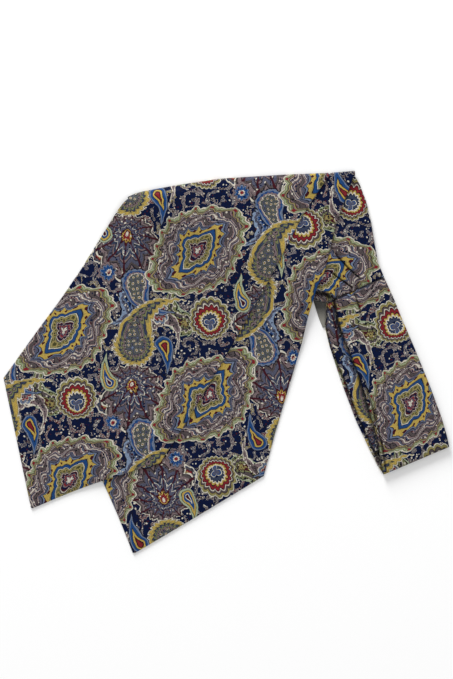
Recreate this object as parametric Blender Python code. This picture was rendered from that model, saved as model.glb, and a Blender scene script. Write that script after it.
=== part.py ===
"""A printed silk cravat, folded in half and laid flat.

The strip of silk has a wide pointed blade at each end and a pleated neckband in its middle. The band
is folded in half at the lower right, so one half lies on the other. Both halves are then folded over
together along one edge at the top, so the two blades lie over the silk that spreads from the band.

Plan sizes are in millimetres in the tables, seen from above, and heights are in millimetres above
the surface that the cravat lies on. Each cloth is a closed wall, lofted through rings: a ring runs
across the cloth, over its top from left to right, round its rounded edge and back underneath.
"""
import bmesh
import bpy
import numpy as np
from math import cos, pi, radians, sin
from mathutils import Vector
from mathutils.bvhtree import BVHTree

MM = 0.001

# Rows along and columns across each cloth, and how blunt a blade's tip is, as a part of its point
POINT_ROWS = 6
BLADE_ROWS = 24
FRONT_SPREAD_ROWS = 15
BACK_SPREAD_ROWS = 17
UPPER_HALF_ROWS = 20
UNDER_HALF_ROWS = 18
BAND_COLUMNS = 12
PLEAT_ROWS = 15
PLEAT_COLUMNS = 6
LINING_COLUMNS = 4
BLUNT_TIP = 0.02

# Thickness of the cloths, in mm
BLADE_WALL = 1.2
THROAT_WALL = 2.0
BAND_WALL = 2.0
PLEAT_WALL = 1.0
LINING_WALL = 1.0
SEAM_GAP = 0.3
LAID_GAP = 0.4

# The top fold: the front half's cloth turns round the back half's, both about one axis
FOLD_AXIS_HEIGHT = 2.0 * BLADE_WALL + 1.5 * SEAM_GAP
INNER_TURN = 0.5 * SEAM_GAP + 0.5 * BLADE_WALL
OUTER_TURN = INNER_TURN + SEAM_GAP + BLADE_WALL
FRONT_FOLD_STATIONS = np.linspace(-79.0, 82.0, 15)
BACK_FOLD_STATIONS = np.append(FRONT_FOLD_STATIONS[1:], (93.1, 104.2))
LONE_TURN_FROM = 84.0
LONE_TURN_FULL = 99.0
FLAT_END_FROM = -67.5
FLAT_END_SHARE = 0.3
SEAM_DEPTH = 3.0
TURN_STEPS = 6

# The band's own fold at the lower right
BAND_AXIS_HEIGHT = BAND_WALL + 0.5 * SEAM_GAP
BAND_TURN = 0.5 * SEAM_GAP + 0.5 * BAND_WALL

# How steeply a cloth comes down from what lies under it: height over distance
BLADE_SLOPE = 0.10
BAND_SLOPE = 0.16

# Outline of the top fold: x, y
FOLD_OUTLINE = [
    (-84.0, 129.0),
    (-79.0, 132.8),
    (-70.0, 136.2),
    (-55.0, 139.0),
    (-36.5, 142.3),
    (-5.0, 147.0),
    (19.0, 148.5),
    (48.6, 150.3),
    (83.0, 151.6),
    (104.2, 153.4),
]

# Each blade has its tip and its heading from the tip towards the fold. Its edges run from the two
# corners of the point up to the fold: distance from the tip, distance to the left of the axis.
# A bow is how far an edge of the point is drawn in at its middle
FRONT_TIP = (-156.0, -117.2)
FRONT_HEADING = radians(61.4)
FRONT_BOWS = (0.0, 3.0)
FRONT_LEFT = [
    (81.4, 69.6),
    (128.0, 63.9),
    (158.0, 59.7),
    (187.0, 56.8),
    (243.0, 53.6),
    (251.0, 52.4),
    (256.0, 50.8),
]
FRONT_RIGHT = [
    (81.6, -72.9),
    (123.6, -76.0),
    (182.1, -78.2),
    (254.8, -79.5),
    (310.2, -78.0),
    (346.0, -79.6),
]

BACK_TIP = (-74.4, -153.2)
BACK_HEADING = radians(73.15)
BACK_BOWS = (3.4, -0.4)
BACK_LEFT = [
    (91.0, 82.0),
    (180.0, 81.0),
    (274.0, 80.4),
]
BACK_RIGHT = [
    (90.0, -81.8),
    (124.0, -80.6),
    (199.0, -80.2),
    (223.0, -78.8),
    (246.0, -78.9),
    (262.0, -81.0),
    (300.0, -78.6),
    (341.0, -81.2),
]

# The neckband runs from the middle of its stitch line to the middle of its fold. Each section has
# its distance from the stitch line and how far the right edge, the main panel's left edge, the
# pleat's left edge and the under half's left edge lie to the right of the band's axis
BAND_START = (105.8, 60.4)
BAND_HEADING = radians(-71.53)
BAND_SECTIONS = [
    dict(along=1.5, right=21.8, panel=-21.6, pleat=-27.8, under=-28.5),
    dict(along=19.0, right=23.6, panel=-24.2, pleat=-35.0, under=-35.6),
    dict(along=35.0, right=24.6, panel=-24.1, pleat=-36.4, under=-37.0),
    dict(along=65.0, right=27.1, panel=-22.6, pleat=-34.6, under=-37.1),
    dict(along=98.0, right=29.1, panel=-23.4, pleat=-33.2, under=-35.8),
    dict(along=122.0, right=29.8, panel=-25.2, pleat=-30.4, under=-33.0),
    dict(along=138.0, right=29.2, panel=-27.8, pleat=-29.0, under=-30.9),
    dict(along=144.3, right=28.4, panel=-28.8, pleat=-28.8, under=-28.8),
]
BAND_FOLD_SKEW = -4.4
PLEAT_START = 2.2
PLEAT_END = 127.0
PLEAT_TUCK = 7.0
UNDER_INSET = 0.8

# A narrow tuck along the panel's left edge: distance down the band, width and depth
TUCK_FROM = 74.0
TUCK_WIDTH = 3.2
TUCK_DEPTH = 0.5

# The spread silk: edges from the fold down to the stitch line, as x, y
BACK_SPREAD_LEFT = [(8.0, 100.0), (50.0, 66.0), (70.0, 58.2), (79.0, 56.6), (84.2, 54.6)]
BACK_SPREAD_RIGHT = [(107.8, 142.6), (113.0, 129.0), (116.6, 111.6), (119.0, 95.0), (121.6, 79.6)]
FRONT_SPREAD_LEFT = [(0.0, 96.0), (40.0, 65.0), (60.0, 54.0), (69.0, 50.2), (75.0, 49.4)]
FRONT_SPREAD_RIGHT = [(98.0, 130.0), (108.0, 108.0), (113.0, 88.0), (118.0, 74.0)]

# Pleats of the spread silk: place across it at the fold and at the stitch line, as a part of its
# width, height at the stitch line and width as a part of the cloth's
SPREAD_PLEATS = [
    dict(fold=0.14, stitch=0.05, height=0.5, width=0.060),
    dict(fold=0.36, stitch=0.24, height=0.8, width=0.070),
    dict(fold=0.60, stitch=0.46, height=0.7, width=0.070),
    dict(fold=0.78, stitch=0.68, height=0.9, width=0.065),
    dict(fold=0.93, stitch=0.88, height=0.7, width=0.055),
]

# The turned-out patch of the band's plain back, in the crook: left x, right x and y of each row
LINING_ROWS = [
    dict(y=48.0, left=69.6, right=77.9),
    dict(y=41.0, left=71.9, right=78.3),
    dict(y=34.0, left=74.4, right=78.2),
    dict(y=28.0, left=77.1, right=78.6),
]

# The middle of the outline, where the part's origin lies
PLAN_CENTRE = (0.0, 0.6)

# A ring's rounded edge: inset and height, as parts of half the wall
EDGE_ROUNDING = [(1.0, 1.0), (0.3, 0.72), (0.0, 0.0), (0.3, -0.72), (1.0, -1.0)]

SILK_COLOURS = {
    "front_blade": (0.10, 0.11, 0.17),
    "back_blade": (0.12, 0.12, 0.17),
    "back_gather": (0.09, 0.10, 0.16),
    "front_gather": (0.08, 0.09, 0.15),
    "neck_band": (0.11, 0.12, 0.17),
    "band_pleat": (0.13, 0.12, 0.16),
    "band_lining": (0.16, 0.15, 0.12),
}


def smooth(x):
    x = np.clip(x, 0.0, 1.0)
    return x * x * (3.0 - 2.0 * x)


def from_axis(origin, heading, along, left):
    """A point given along an axis and to its left."""
    return np.array([
        origin[0] + along * cos(heading) - left * sin(heading),
        origin[1] + along * sin(heading) + left * cos(heading),
    ])


def spaced(points, count):
    """Points at even distances along a line through the given ones."""
    points = np.array(points, float)
    steps = np.linalg.norm(np.diff(points, axis=0), axis=1)
    run = np.concatenate([[0.0], np.cumsum(steps)])
    wanted = np.linspace(0.0, run[-1], count)
    return np.stack([np.interp(wanted, run, points[:, k]) for k in (0, 1)], axis=1)


def fold_height(x):
    """The fold outline's y at x, with its corners eased over a few millimetres."""
    xs, ys = np.array(FOLD_OUTLINE).T
    return sum(np.interp(x + shift, xs, ys) for shift in (-6.0, -3.0, 0.0, 3.0, 6.0)) / 5.0


def fold_row(x, turn_radius):
    """Axis points of the top fold, the directions out of it and how far a turn goes out. Past the
    front blade, where the back half turns alone, the axis comes out towards the fold's outline.
    At its left end, where nothing lies in it, the front half's turn is pressed flatter."""
    slope = (fold_height(x + 1.0) - fold_height(x - 1.0)) / 2.0
    outward = np.stack([-slope, np.ones(len(x))], axis=1)
    outward /= np.linalg.norm(outward, axis=1)[:, None]
    alone = smooth((x - LONE_TURN_FROM) / (LONE_TURN_FULL - LONE_TURN_FROM))
    pressed = np.clip((FLAT_END_FROM - x) / (FLAT_END_FROM - x[0] + 0.001), 0.0, 1.0)
    share = 1.0 - (1.0 - FLAT_END_SHARE) * pressed
    reach = (OUTER_TURN + (INNER_TURN - OUTER_TURN) * alone) * share + BLADE_WALL / 2.0
    axis = np.stack([x, fold_height(x)], axis=1) - outward * reach[:, None]
    return axis, outward, turn_radius * share


def halved(line):
    """The same line with a point added in the middle of each step."""
    finer = np.repeat(line, 2, axis=0)[:-1]
    finer[1::2] = (line[1:] + line[:-1]) / 2.0
    return finer


def cloth_plan(left, right, last_row):
    """A grid of plan points from the first row to the last one, which may be curved."""
    rows = len(left)
    across = np.linspace(0.0, 1.0, len(last_row))[None, :, None]
    plan = left[:, None, :] * (1.0 - across) + right[:, None, :] * across
    bow = last_row - plan[-1]
    share = (np.arange(rows) / (rows - 1.0)) ** 3
    return plan + share[:, None, None] * bow[None]


def ended_at(line, last):
    """The line with its last stretch drawn over to a given point."""
    part = np.linspace(0.0, 1.0, len(line))[:, None] ** 12
    return line + (last - line[-1]) * part


def ring(plan, middle, half, outward, turn):
    """One ring of a wall: its middle line, half thickness and the turn about the fold's axis."""
    first = plan[1] - plan[0]
    last = plan[-1] - plan[-2]
    room = (0.4 * np.linalg.norm(first), 0.4 * np.linalg.norm(last))
    first = first / np.linalg.norm(first)
    last = last / np.linalg.norm(last)

    def point(column, inset, side):
        place = plan[column].copy()
        if column == 0:
            place += first * min(inset * half[column], room[0])
        if column == len(plan) - 1:
            place -= last * min(inset * half[column], room[1])
        out = side * half[column]
        place += outward[column] * out * sin(turn)
        return (place[0], place[1], middle[column] + out * cos(turn))

    end = len(plan) - 1
    inner = range(1, end)
    points = [point(0, *EDGE_ROUNDING[0])]
    points += [point(k, 0.0, 1.0) for k in inner]
    points += [point(end, inset, side) for inset, side in EDGE_ROUNDING]
    points += [point(k, 0.0, -1.0) for k in reversed(inner)]
    points += [point(0, inset, side) for inset, side in reversed(EDGE_ROUNDING[1:])]
    return points


def flat_rings(plan, underside, wall, turn=0.0):
    """Rings of a cloth that lies flat, from its underside's heights and its wall thickness."""
    wall = np.broadcast_to(wall, underside.shape)
    still = np.zeros_like(plan[0])
    return [ring(plan[i], underside[i] + wall[i] / 2.0, wall[i] / 2.0, still, turn)
            for i in range(len(plan))]


def turned_rings(axis, outward, reach, radius, axis_height, wall):
    """Rings of a cloth's half turn about a fold's axis, as far out as its reach."""
    half = np.full(len(axis), wall / 2.0)
    rings = []
    for step in range(1, TURN_STEPS + 1):
        turn = pi * step / TURN_STEPS
        plan = axis + outward * reach[:, None] * sin(turn)
        middle = np.full(len(axis), axis_height + radius * cos(turn))
        rings.append(ring(plan, middle, half, outward, turn))
    return rings


def loft(rings):
    """Corner points and triangles of a closed wall through its rings."""
    size = len(rings[0])
    points = [point for one in rings for point in one]
    faces = []
    for i in range(len(rings) - 1):
        for k in range(size):
            a = i * size + k
            b = i * size + (k + 1) % size
            faces.append((a, b, b + size))
            faces.append((a, b + size, a + size))
    return points, faces + end_cap(0, size) + end_cap((len(rings) - 1) * size, size)


def end_cap(start, size):
    """Triangles that close the wall at an end ring: a strip between its top and its underside."""
    extra = len(EDGE_ROUNDING) - 2
    right = size // 2 - extra - 1
    under = size - extra - 1
    faces = []
    for k in range(right):
        faces.append((k, under - k, under - k - 1))
        faces.append((k, under - k - 1, k + 1))
    for k in range(extra):
        faces.append((right, right + k + 1, right + k + 2))
        faces.append((0, size - 1 - k, size - 2 - k))
    return [tuple(start + k for k in face) for face in faces]


def tree_of(rings):
    points, faces = loft(rings)
    return BVHTree.FromPolygons([Vector(p) for p in points], faces)


def top_below(trees, x, y):
    """Height of the highest cloth at a place, or nothing."""
    tops = []
    for tree in trees:
        hit = tree.ray_cast(Vector((x, y, 50.0)), Vector((0.0, 0.0, -1.0)))[0]
        if hit is not None:
            tops.append(hit.z)
    return max(tops) if tops else None


def settle(plan, trees, slope, last_height=None):
    """Underside heights of a cloth laid over others: a gap above them, sloping to the surface."""
    rows, columns = plan.shape[:2]
    under = np.zeros((rows, columns))
    for i in range(rows):
        for k in range(columns):
            top = top_below(trees, *plan[i, k])
            if top is not None:
                under[i, k] = top + LAID_GAP
    if last_height is not None:
        under[-1] = last_height
    ease_down(plan, under, slope)
    for _ in range(4):
        if not lift_clear(plan, under, trees):
            break
        ease_down(plan, under, slope)
    return under


def ease_down(plan, under, slope):
    """Raises points beside high ones, so that the cloth comes down no steeper than its slope."""
    rows, columns = under.shape
    sides = [(0, 1), (1, 0), (1, 1), (1, -1)]
    changed = True
    while changed:
        changed = False
        for di, dk in sides:
            a = (slice(0, rows - di), slice(max(0, -dk), columns - max(0, dk)))
            b = (slice(di, rows), slice(max(0, dk), columns - max(0, -dk)))
            drop = slope * np.linalg.norm(plan[a] - plan[b], axis=2)
            for high, low in ((a, b), (b, a)):
                wanted = under[high] - drop
                if np.any(wanted > under[low] + 1e-6):
                    under[low] = np.maximum(under[low], wanted)
                    changed = True


def lift_clear(plan, under, trees):
    """Raises the corners of any triangle that comes nearer than the gap to a cloth below it."""
    lifted = False
    shares = [(a / 5.0, b / 5.0) for a in range(6) for b in range(6 - a)]
    for i in range(len(plan) - 1):
        for k in range(plan.shape[1] - 1):
            for corners in (((i, k), (i, k + 1), (i + 1, k + 1)), ((i, k), (i + 1, k + 1), (i + 1, k))):
                places = [plan[c] for c in corners]
                for a, b in shares:
                    x, y = places[0] + (places[1] - places[0]) * a + (places[2] - places[0]) * b
                    top = top_below(trees, x, y)
                    if top is None:
                        continue
                    heights = [under[c] for c in corners]
                    height = heights[0] + (heights[1] - heights[0]) * a + (heights[2] - heights[0]) * b
                    if height < top + LAID_GAP - 0.02:
                        lift = top + LAID_GAP - height
                        for c in corners:
                            under[c] += lift
                        lifted = True
    return lifted


def blade_plan(tip, heading, bows, left, right, fold):
    """Plan points of a blade from its tip, over the two corners of its point, to the fold."""
    left = np.array([from_axis(tip, heading, *place) for place in left])
    right = np.array([from_axis(tip, heading, *place) for place in right])
    left_line = ended_at(spaced(left, BLADE_ROWS), fold[0])
    right_line = ended_at(spaced(right, BLADE_ROWS), fold[-1])
    body = cloth_plan(left_line, right_line, fold)
    shares = np.linspace(BLUNT_TIP, 1.0, POINT_ROWS + 1)[:-1]
    point = np.array(tip) + shares[:, None, None] * (body[0] - np.array(tip))[None]
    across = np.linspace(0.0, 1.0, len(fold))
    inward = body[0, -1] - body[0, 0]
    inward = inward / np.linalg.norm(inward)
    drawn = bows[0] * (1.0 - across) ** 2 - bows[1] * across ** 2
    bend = np.sin(pi * shares)[:, None] * drawn[None]
    point += bend[:, :, None] * inward
    return np.concatenate([point, body])


def blade_rings(plan, under, fold, radius):
    """A blade, its turn round the fold and the short end under it that meets the spread silk."""
    axis, outward, reach = fold
    rings = flat_rings(plan, under, BLADE_WALL)
    rings += turned_rings(axis, outward, reach, radius, FOLD_AXIS_HEIGHT, BLADE_WALL)
    end = axis - outward * SEAM_DEPTH
    middle = np.full(len(axis), FOLD_AXIS_HEIGHT - radius)
    half = np.full(len(axis), BLADE_WALL / 2.0)
    rings.append(ring(end, middle, half, outward, pi))
    return rings


def spread_plan(fold, left, right, stitch, rows):
    """Plan points of the spread silk, from the stitch line up to the fold."""
    axis, outward = fold[:2]
    top = axis - outward * (SEAM_DEPTH + SEAM_GAP)
    left_line = spaced([stitch[0]] + left[::-1] + [top[0]], rows)
    right_line = spaced([stitch[1]] + right[::-1] + [top[-1]], rows)
    return cloth_plan(left_line, right_line, top)


def spread_wall(rows, columns):
    """The spread silk thickens towards the stitch line and rises in pleats there."""
    down = np.linspace(1.0, 0.0, rows)[:, None]
    across = np.linspace(0.0, 1.0, columns)[None, :]
    wall = BLADE_WALL + (THROAT_WALL - BLADE_WALL) * smooth(down)
    relief = np.zeros((rows, columns))
    for pleat in SPREAD_PLEATS:
        centre = pleat["fold"] + (pleat["stitch"] - pleat["fold"]) * down
        relief += pleat["height"] * np.exp(-((across - centre) / pleat["width"]) ** 2)
    fade = smooth(down) * smooth((1.0 - down) / 0.05)
    return wall + relief * fade


def band_edges(side, lengths):
    along = [section["along"] for section in BAND_SECTIONS]
    return np.interp(lengths, along, [section[side] for section in BAND_SECTIONS])


def band_plan(side, start, end, rows, columns, right_inset=0.0):
    """Plan points down the band between a left edge and the right edge."""
    lengths = np.linspace(start, end, rows)
    left = band_edges(side, lengths)
    right = band_edges("right", lengths) - right_inset
    across = np.linspace(0.0, 1.0, columns)
    plan = np.zeros((rows, columns, 2))
    for i in range(rows):
        place = left[i] + (right[i] - left[i]) * across
        skew = BAND_FOLD_SKEW * place / (right[i] - left[i])
        for k in range(columns):
            plan[i, k] = from_axis(BAND_START, BAND_HEADING, lengths[i] + skew[k], place[k])
    return plan


def band_panel_wall(plan, start, end):
    """The panel's wall, lower in the narrow tuck along its left edge."""
    rows, columns = plan.shape[:2]
    lengths = np.linspace(start, end, rows)[:, None]
    from_left = np.linalg.norm(plan - plan[:, :1], axis=2)
    tuck = smooth((lengths - TUCK_FROM) / 20.0) * (from_left < TUCK_WIDTH)
    near_fold = smooth((end - lengths) / 10.0)
    return BAND_WALL - TUCK_DEPTH * tuck * near_fold


def add_object(name, rings):
    points, faces = loft(rings)
    points = MM * (np.array(points) - (*PLAN_CENTRE, 0.0))
    mesh = bpy.data.meshes.new(name)
    mesh.from_pydata(points.tolist(), [], faces)
    wall = bmesh.new()
    wall.from_mesh(mesh)
    bmesh.ops.recalc_face_normals(wall, faces=wall.faces)
    if wall.calc_volume(signed=True) < 0.0:
        bmesh.ops.reverse_faces(wall, faces=wall.faces)
    wall.to_mesh(mesh)
    wall.free()
    material = bpy.data.materials.new(name + "_silk")
    material.use_nodes = True
    shader = material.node_tree.nodes["Principled BSDF"]
    shader.inputs["Base Color"].default_value = (*SILK_COLOURS[name], 1.0)
    shader.inputs["Roughness"].default_value = 0.45
    shader.inputs["Metallic"].default_value = 0.0
    mesh.materials.append(material)
    mesh.shade_smooth()
    mesh.set_sharp_from_angle(angle=radians(40.0))
    thing = bpy.data.objects.new(name, mesh)
    bpy.context.collection.objects.link(thing)


def stitch_line(side, right_inset, offset):
    """Both ends of the line where the band starts, moved up the spread silk by an offset."""
    row = band_plan(side, BAND_SECTIONS[0]["along"], BAND_SECTIONS[0]["along"], 1, 2, right_inset)[0]
    back = from_axis((0.0, 0.0), BAND_HEADING, -offset, 0.0)
    return row + back


def flat_on_surface(plan):
    return np.zeros(plan.shape[:2])


def under_half_plan():
    """Plan of the band's under half, drawn to the upper half's outline at the fold."""
    start = BAND_SECTIONS[0]["along"]
    end = BAND_SECTIONS[-1]["along"]
    plan = band_plan("under", start, end, UNDER_HALF_ROWS, BAND_COLUMNS, UNDER_INSET)
    plan[-1] = band_plan("panel", end, end, 1, BAND_COLUMNS)[0]
    return plan


def pleat_rings(lower_tree):
    """The pleat: from its own left edge to a tuck under the panel's."""
    lengths = np.linspace(PLEAT_START, PLEAT_END, PLEAT_ROWS)
    plan = band_plan("pleat", PLEAT_START, PLEAT_END, PLEAT_ROWS, 2)
    width = band_edges("panel", lengths) - band_edges("pleat", lengths) + PLEAT_TUCK
    across = plan[:, -1] - plan[:, 0]
    across *= (width / np.linalg.norm(across, axis=1))[:, None]
    shares = np.linspace(0.0, 1.0, PLEAT_COLUMNS)[None, :, None]
    plan = plan[:, :1] + across[:, None] * shares
    return flat_rings(plan, settle(plan, [lower_tree], BAND_SLOPE), PLEAT_WALL)


def band_rings(lower_plan, trees):
    """The band as one folded cloth: upper half, turn and under half."""
    start = BAND_SECTIONS[0]["along"]
    end = BAND_SECTIONS[-1]["along"]
    plan = band_plan("panel", start, end, UPPER_HALF_ROWS, BAND_COLUMNS)
    under = settle(plan, trees, BAND_SLOPE, BAND_WALL + SEAM_GAP)
    outward = np.tile(from_axis((0.0, 0.0), BAND_HEADING, 1.0, 0.0), (BAND_COLUMNS, 1))
    reach = np.full(BAND_COLUMNS, BAND_TURN)
    rings = flat_rings(plan, under, band_panel_wall(plan, start, end))
    rings += turned_rings(plan[-1], outward, reach, BAND_TURN, BAND_AXIS_HEIGHT, BAND_WALL)
    back = lower_plan[-2::-1]
    return rings + flat_rings(back, flat_on_surface(back), BAND_WALL, pi)


def front_gather_rings(turn):
    stitch = stitch_line("under", UNDER_INSET, SEAM_GAP)
    plan = spread_plan(turn[:2], FRONT_SPREAD_LEFT, FRONT_SPREAD_RIGHT, stitch, FRONT_SPREAD_ROWS)
    down = np.linspace(1.0, 0.0, FRONT_SPREAD_ROWS)[:, None]
    wall = BLADE_WALL + (THROAT_WALL - BLADE_WALL) * smooth(down)
    return flat_rings(plan, flat_on_surface(plan), wall)


def back_gather_rings(turn, trees):
    stitch = stitch_line("panel", 0.0, SEAM_GAP)
    fold = [halved(line) for line in turn[:2]]
    plan = spread_plan(fold, BACK_SPREAD_LEFT, BACK_SPREAD_RIGHT, stitch, BACK_SPREAD_ROWS)
    under = settle(plan, trees, BLADE_SLOPE, BLADE_WALL + SEAM_GAP)
    return flat_rings(plan, under, spread_wall(*plan.shape[:2]))


def lining_rings():
    shares = np.linspace(0.0, 1.0, LINING_COLUMNS)
    plan = np.array([
        [(row["left"] + (row["right"] - row["left"]) * share, row["y"]) for share in shares]
        for row in LINING_ROWS])
    return flat_rings(plan, flat_on_surface(plan), LINING_WALL)


def main():
    for thing in list(bpy.data.objects):
        bpy.data.objects.remove(thing, do_unlink=True)

    # The band's under half, with the pleat on it and the upper half over both
    lower_plan = under_half_plan()
    lower_tree = tree_of(flat_rings(lower_plan, flat_on_surface(lower_plan), BAND_WALL))
    pleat = pleat_rings(lower_tree)
    pleat_tree = tree_of(pleat)
    band = band_rings(lower_plan, [lower_tree, pleat_tree])

    # The spread silk of each half, the front half's lying under the back half's
    front_turn = fold_row(FRONT_FOLD_STATIONS, OUTER_TURN)
    back_turn = fold_row(BACK_FOLD_STATIONS, INNER_TURN)
    front_gather = front_gather_rings(front_turn)
    front_gather_tree = tree_of(front_gather)
    back_gather = back_gather_rings(back_turn, [front_gather_tree, lower_tree, pleat_tree])
    lining = lining_rings()

    # The two blades, laid over everything before them
    below = [front_gather_tree, tree_of(back_gather), tree_of(lining), lower_tree, pleat_tree]
    back_plan = blade_plan(BACK_TIP, BACK_HEADING, BACK_BOWS, BACK_LEFT, BACK_RIGHT, back_turn[0])
    back_height = FOLD_AXIS_HEIGHT + INNER_TURN - BLADE_WALL / 2.0
    under = settle(back_plan, below, BLADE_SLOPE, back_height)
    back_blade = blade_rings(back_plan, under, back_turn, INNER_TURN)

    below.append(tree_of(flat_rings(back_plan, under, BLADE_WALL)))
    front_plan = blade_plan(FRONT_TIP, FRONT_HEADING, FRONT_BOWS, FRONT_LEFT, FRONT_RIGHT,
                            front_turn[0])
    front_height = FOLD_AXIS_HEIGHT + OUTER_TURN - BLADE_WALL / 2.0
    under = settle(front_plan, below, BLADE_SLOPE, front_height)
    front_blade = blade_rings(front_plan, under, front_turn, OUTER_TURN)

    add_object("front_blade", front_blade)
    add_object("back_blade", back_blade)
    add_object("back_gather", back_gather)
    add_object("front_gather", front_gather)
    add_object("neck_band", band)
    add_object("band_pleat", pleat)
    add_object("band_lining", lining)


main()
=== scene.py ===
# %% [markdown]
# A printed silk cravat, folded and laid flat.
# A cravat is a long strip of silk with a wide pointed blade at each end and a pleated neckband in
# its middle. This one is folded in half at the band and then folded over once more at the top, so
# that both blades lie over the silk that spreads from the band. Every cloth is built here as a thin
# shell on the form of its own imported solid, with the creases and the print that a solid leaves out.

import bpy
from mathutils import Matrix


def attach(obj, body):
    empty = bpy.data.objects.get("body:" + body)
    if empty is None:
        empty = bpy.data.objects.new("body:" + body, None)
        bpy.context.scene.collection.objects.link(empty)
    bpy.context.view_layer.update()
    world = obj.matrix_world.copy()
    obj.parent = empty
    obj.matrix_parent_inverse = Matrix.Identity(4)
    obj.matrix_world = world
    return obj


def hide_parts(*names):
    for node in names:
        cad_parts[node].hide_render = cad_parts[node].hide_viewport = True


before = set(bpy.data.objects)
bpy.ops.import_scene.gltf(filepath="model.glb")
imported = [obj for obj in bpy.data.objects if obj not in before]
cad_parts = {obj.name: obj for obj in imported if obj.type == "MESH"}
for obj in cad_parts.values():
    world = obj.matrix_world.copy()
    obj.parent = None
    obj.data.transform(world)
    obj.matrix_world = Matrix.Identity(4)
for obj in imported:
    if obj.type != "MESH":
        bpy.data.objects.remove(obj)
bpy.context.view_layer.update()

# %% [markdown]
# The rest is plain Python. NumPy holds the grids of points that the cloths are made from, and
# Blender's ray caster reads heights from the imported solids. The tables below are in millimetres, as
# a maker would measure, while Blender works in metres.

# %% Tools of the script
from math import cos, pi, radians, sin

import bpy
import numpy as np
from mathutils import Vector
from mathutils.bvhtree import BVHTree

MM = 0.001
DOWN = Vector((0.0, 0.0, -1.0))
print("packed pieces", len(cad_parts))

# %% [markdown]
# The camera looks straight down, as the photograph does. A long lens from three metres up keeps the
# blades' outlines true, because a near camera would draw the raised fold larger than the tips.

# %% Camera
CAMERA_HEIGHT = 3.0
VIEW_CENTRE = (0.0002, 0.0178)
VIEW_HEIGHT = 0.5432
SENSOR = 24.0

camera_data = bpy.data.cameras.new("top_camera")
camera_data.sensor_fit = "VERTICAL"
camera_data.sensor_height = SENSOR
camera_data.lens = SENSOR * CAMERA_HEIGHT / VIEW_HEIGHT
camera_data.clip_end = 20.0
camera = bpy.data.objects.new("top_camera", camera_data)
camera.location = (*VIEW_CENTRE, CAMERA_HEIGHT)
bpy.context.collection.objects.link(camera)
bpy.context.scene.camera = camera
print("lens", round(camera_data.lens, 1))

# %% [markdown]
# The photograph is a cut-out on white, so the floor is one plain pale sheet. It is far wider than
# the cravat, so that its edge never shows, and nearly matt, so that it carries only the soft shadow.

# %% Floor
FLOOR_SIZE = 8.0

bpy.ops.object.select_all(action="DESELECT")
bpy.ops.mesh.primitive_plane_add(size=FLOOR_SIZE, location=(0.0, 0.0, 0.0))
floor = bpy.context.active_object
floor.name = "floor"
floor_paint = bpy.data.materials.new("floor_paint")
floor_paint.use_nodes = True
floor_shader = floor_paint.node_tree.nodes["Principled BSDF"]
floor_shader.inputs["Base Color"].default_value = (0.93, 0.93, 0.93, 1.0)
floor_shader.inputs["Roughness"].default_value = 0.9
floor_shader.inputs["Specular IOR Level"].default_value = 0.1
floor.data.materials.append(floor_paint)
print("floor", FLOOR_SIZE, "m wide")

# %% [markdown]
# The light comes soft from the top of the picture and a little from the left, so the cravat throws a
# faint shadow below it and to its right. A large lamp, the window, gives the shadow its direction, a
# weak one fills it and a pale sky lifts the rest. Both lamps are discs, because a small one would cut
# a hard shadow.

# %% Light
LAMPS = [
    dict(name="window", place=(-1.3, 4.0, 1.5), size=2.0, power=252.0),
    dict(name="fill", place=(1.2, -0.8, 4.0), size=2.6, power=26.0),
]
SKY_STRENGTH = 0.57

for lamp in LAMPS:
    lamp_data = bpy.data.lights.new(lamp["name"], "AREA")
    lamp_data.shape = "DISK"
    lamp_data.size = lamp["size"]
    lamp_data.energy = lamp["power"]
    lamp_object = bpy.data.objects.new(lamp["name"], lamp_data)
    lamp_object.location = lamp["place"]
    towards = Vector((0.0, 0.0, 0.0)) - Vector(lamp["place"])
    lamp_object.rotation_euler = towards.to_track_quat("-Z", "Y").to_euler()
    bpy.context.collection.objects.link(lamp_object)

sky = bpy.data.worlds.new("sky")
sky.use_nodes = True
sky.node_tree.nodes["Background"].inputs["Color"].default_value = (1.0, 1.0, 1.0, 1.0)
sky.node_tree.nodes["Background"].inputs["Strength"].default_value = SKY_STRENGTH
bpy.context.scene.world = sky
print("lamps", len(LAMPS))

# %% [markdown]
# The plan of each cloth is the one that its solid was lofted on: edges measured from a tip along an
# axis, and lines of the fold and the stitching. All of it is in millimetres seen from above. The
# shells need far more rows and columns than the solids, so the same tables are read more finely.

# %% Sizes of the cloths
BLADE_WALL = 1.2
THROAT_WALL = 2.0
BAND_WALL = 2.0
PLEAT_WALL = 1.0
LINING_WALL = 1.0
SEAM_GAP = 0.3
SEAM_DEPTH = 3.0
FOLD_AXIS_HEIGHT = 2.0 * BLADE_WALL + 1.5 * SEAM_GAP
INNER_TURN = 0.5 * SEAM_GAP + 0.5 * BLADE_WALL
OUTER_TURN = INNER_TURN + SEAM_GAP + BLADE_WALL
BAND_AXIS_HEIGHT = BAND_WALL + 0.5 * SEAM_GAP
BAND_TURN = 0.5 * SEAM_GAP + 0.5 * BAND_WALL
LONE_TURN_FROM = 81.6
LONE_TURN_FULL = 83.6
FLAT_END_FROM = -67.5
FLAT_END_SHARE = 0.3
PLAN_CENTRE = (0.0, 0.6)
print("turns of the blades", round(INNER_TURN, 2), round(OUTER_TURN, 2), "mm")

# %% [markdown]
# At the top fold both halves of the cravat turn over together. Its outline is a few points read from
# the photograph and eased over some millimetres, because a folded edge of silk has no corners. Each
# cloth turns about an axis just inside the outline, and its radius puts it inside or outside the
# other. Towards its left end the fold is pressed flatter.

# %% Outline of the top fold
FOLD_OUTLINE = [
    (-84.0, 129.0),
    (-79.0, 132.8),
    (-70.0, 136.2),
    (-55.0, 139.0),
    (-36.5, 142.3),
    (-5.0, 147.0),
    (19.0, 148.5),
    (48.6, 150.3),
    (83.0, 151.6),
    (104.2, 153.4),
]
FOLD_EASING = (-6.0, -3.0, 0.0, 3.0, 6.0)
SLIGHT = 0.001


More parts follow.
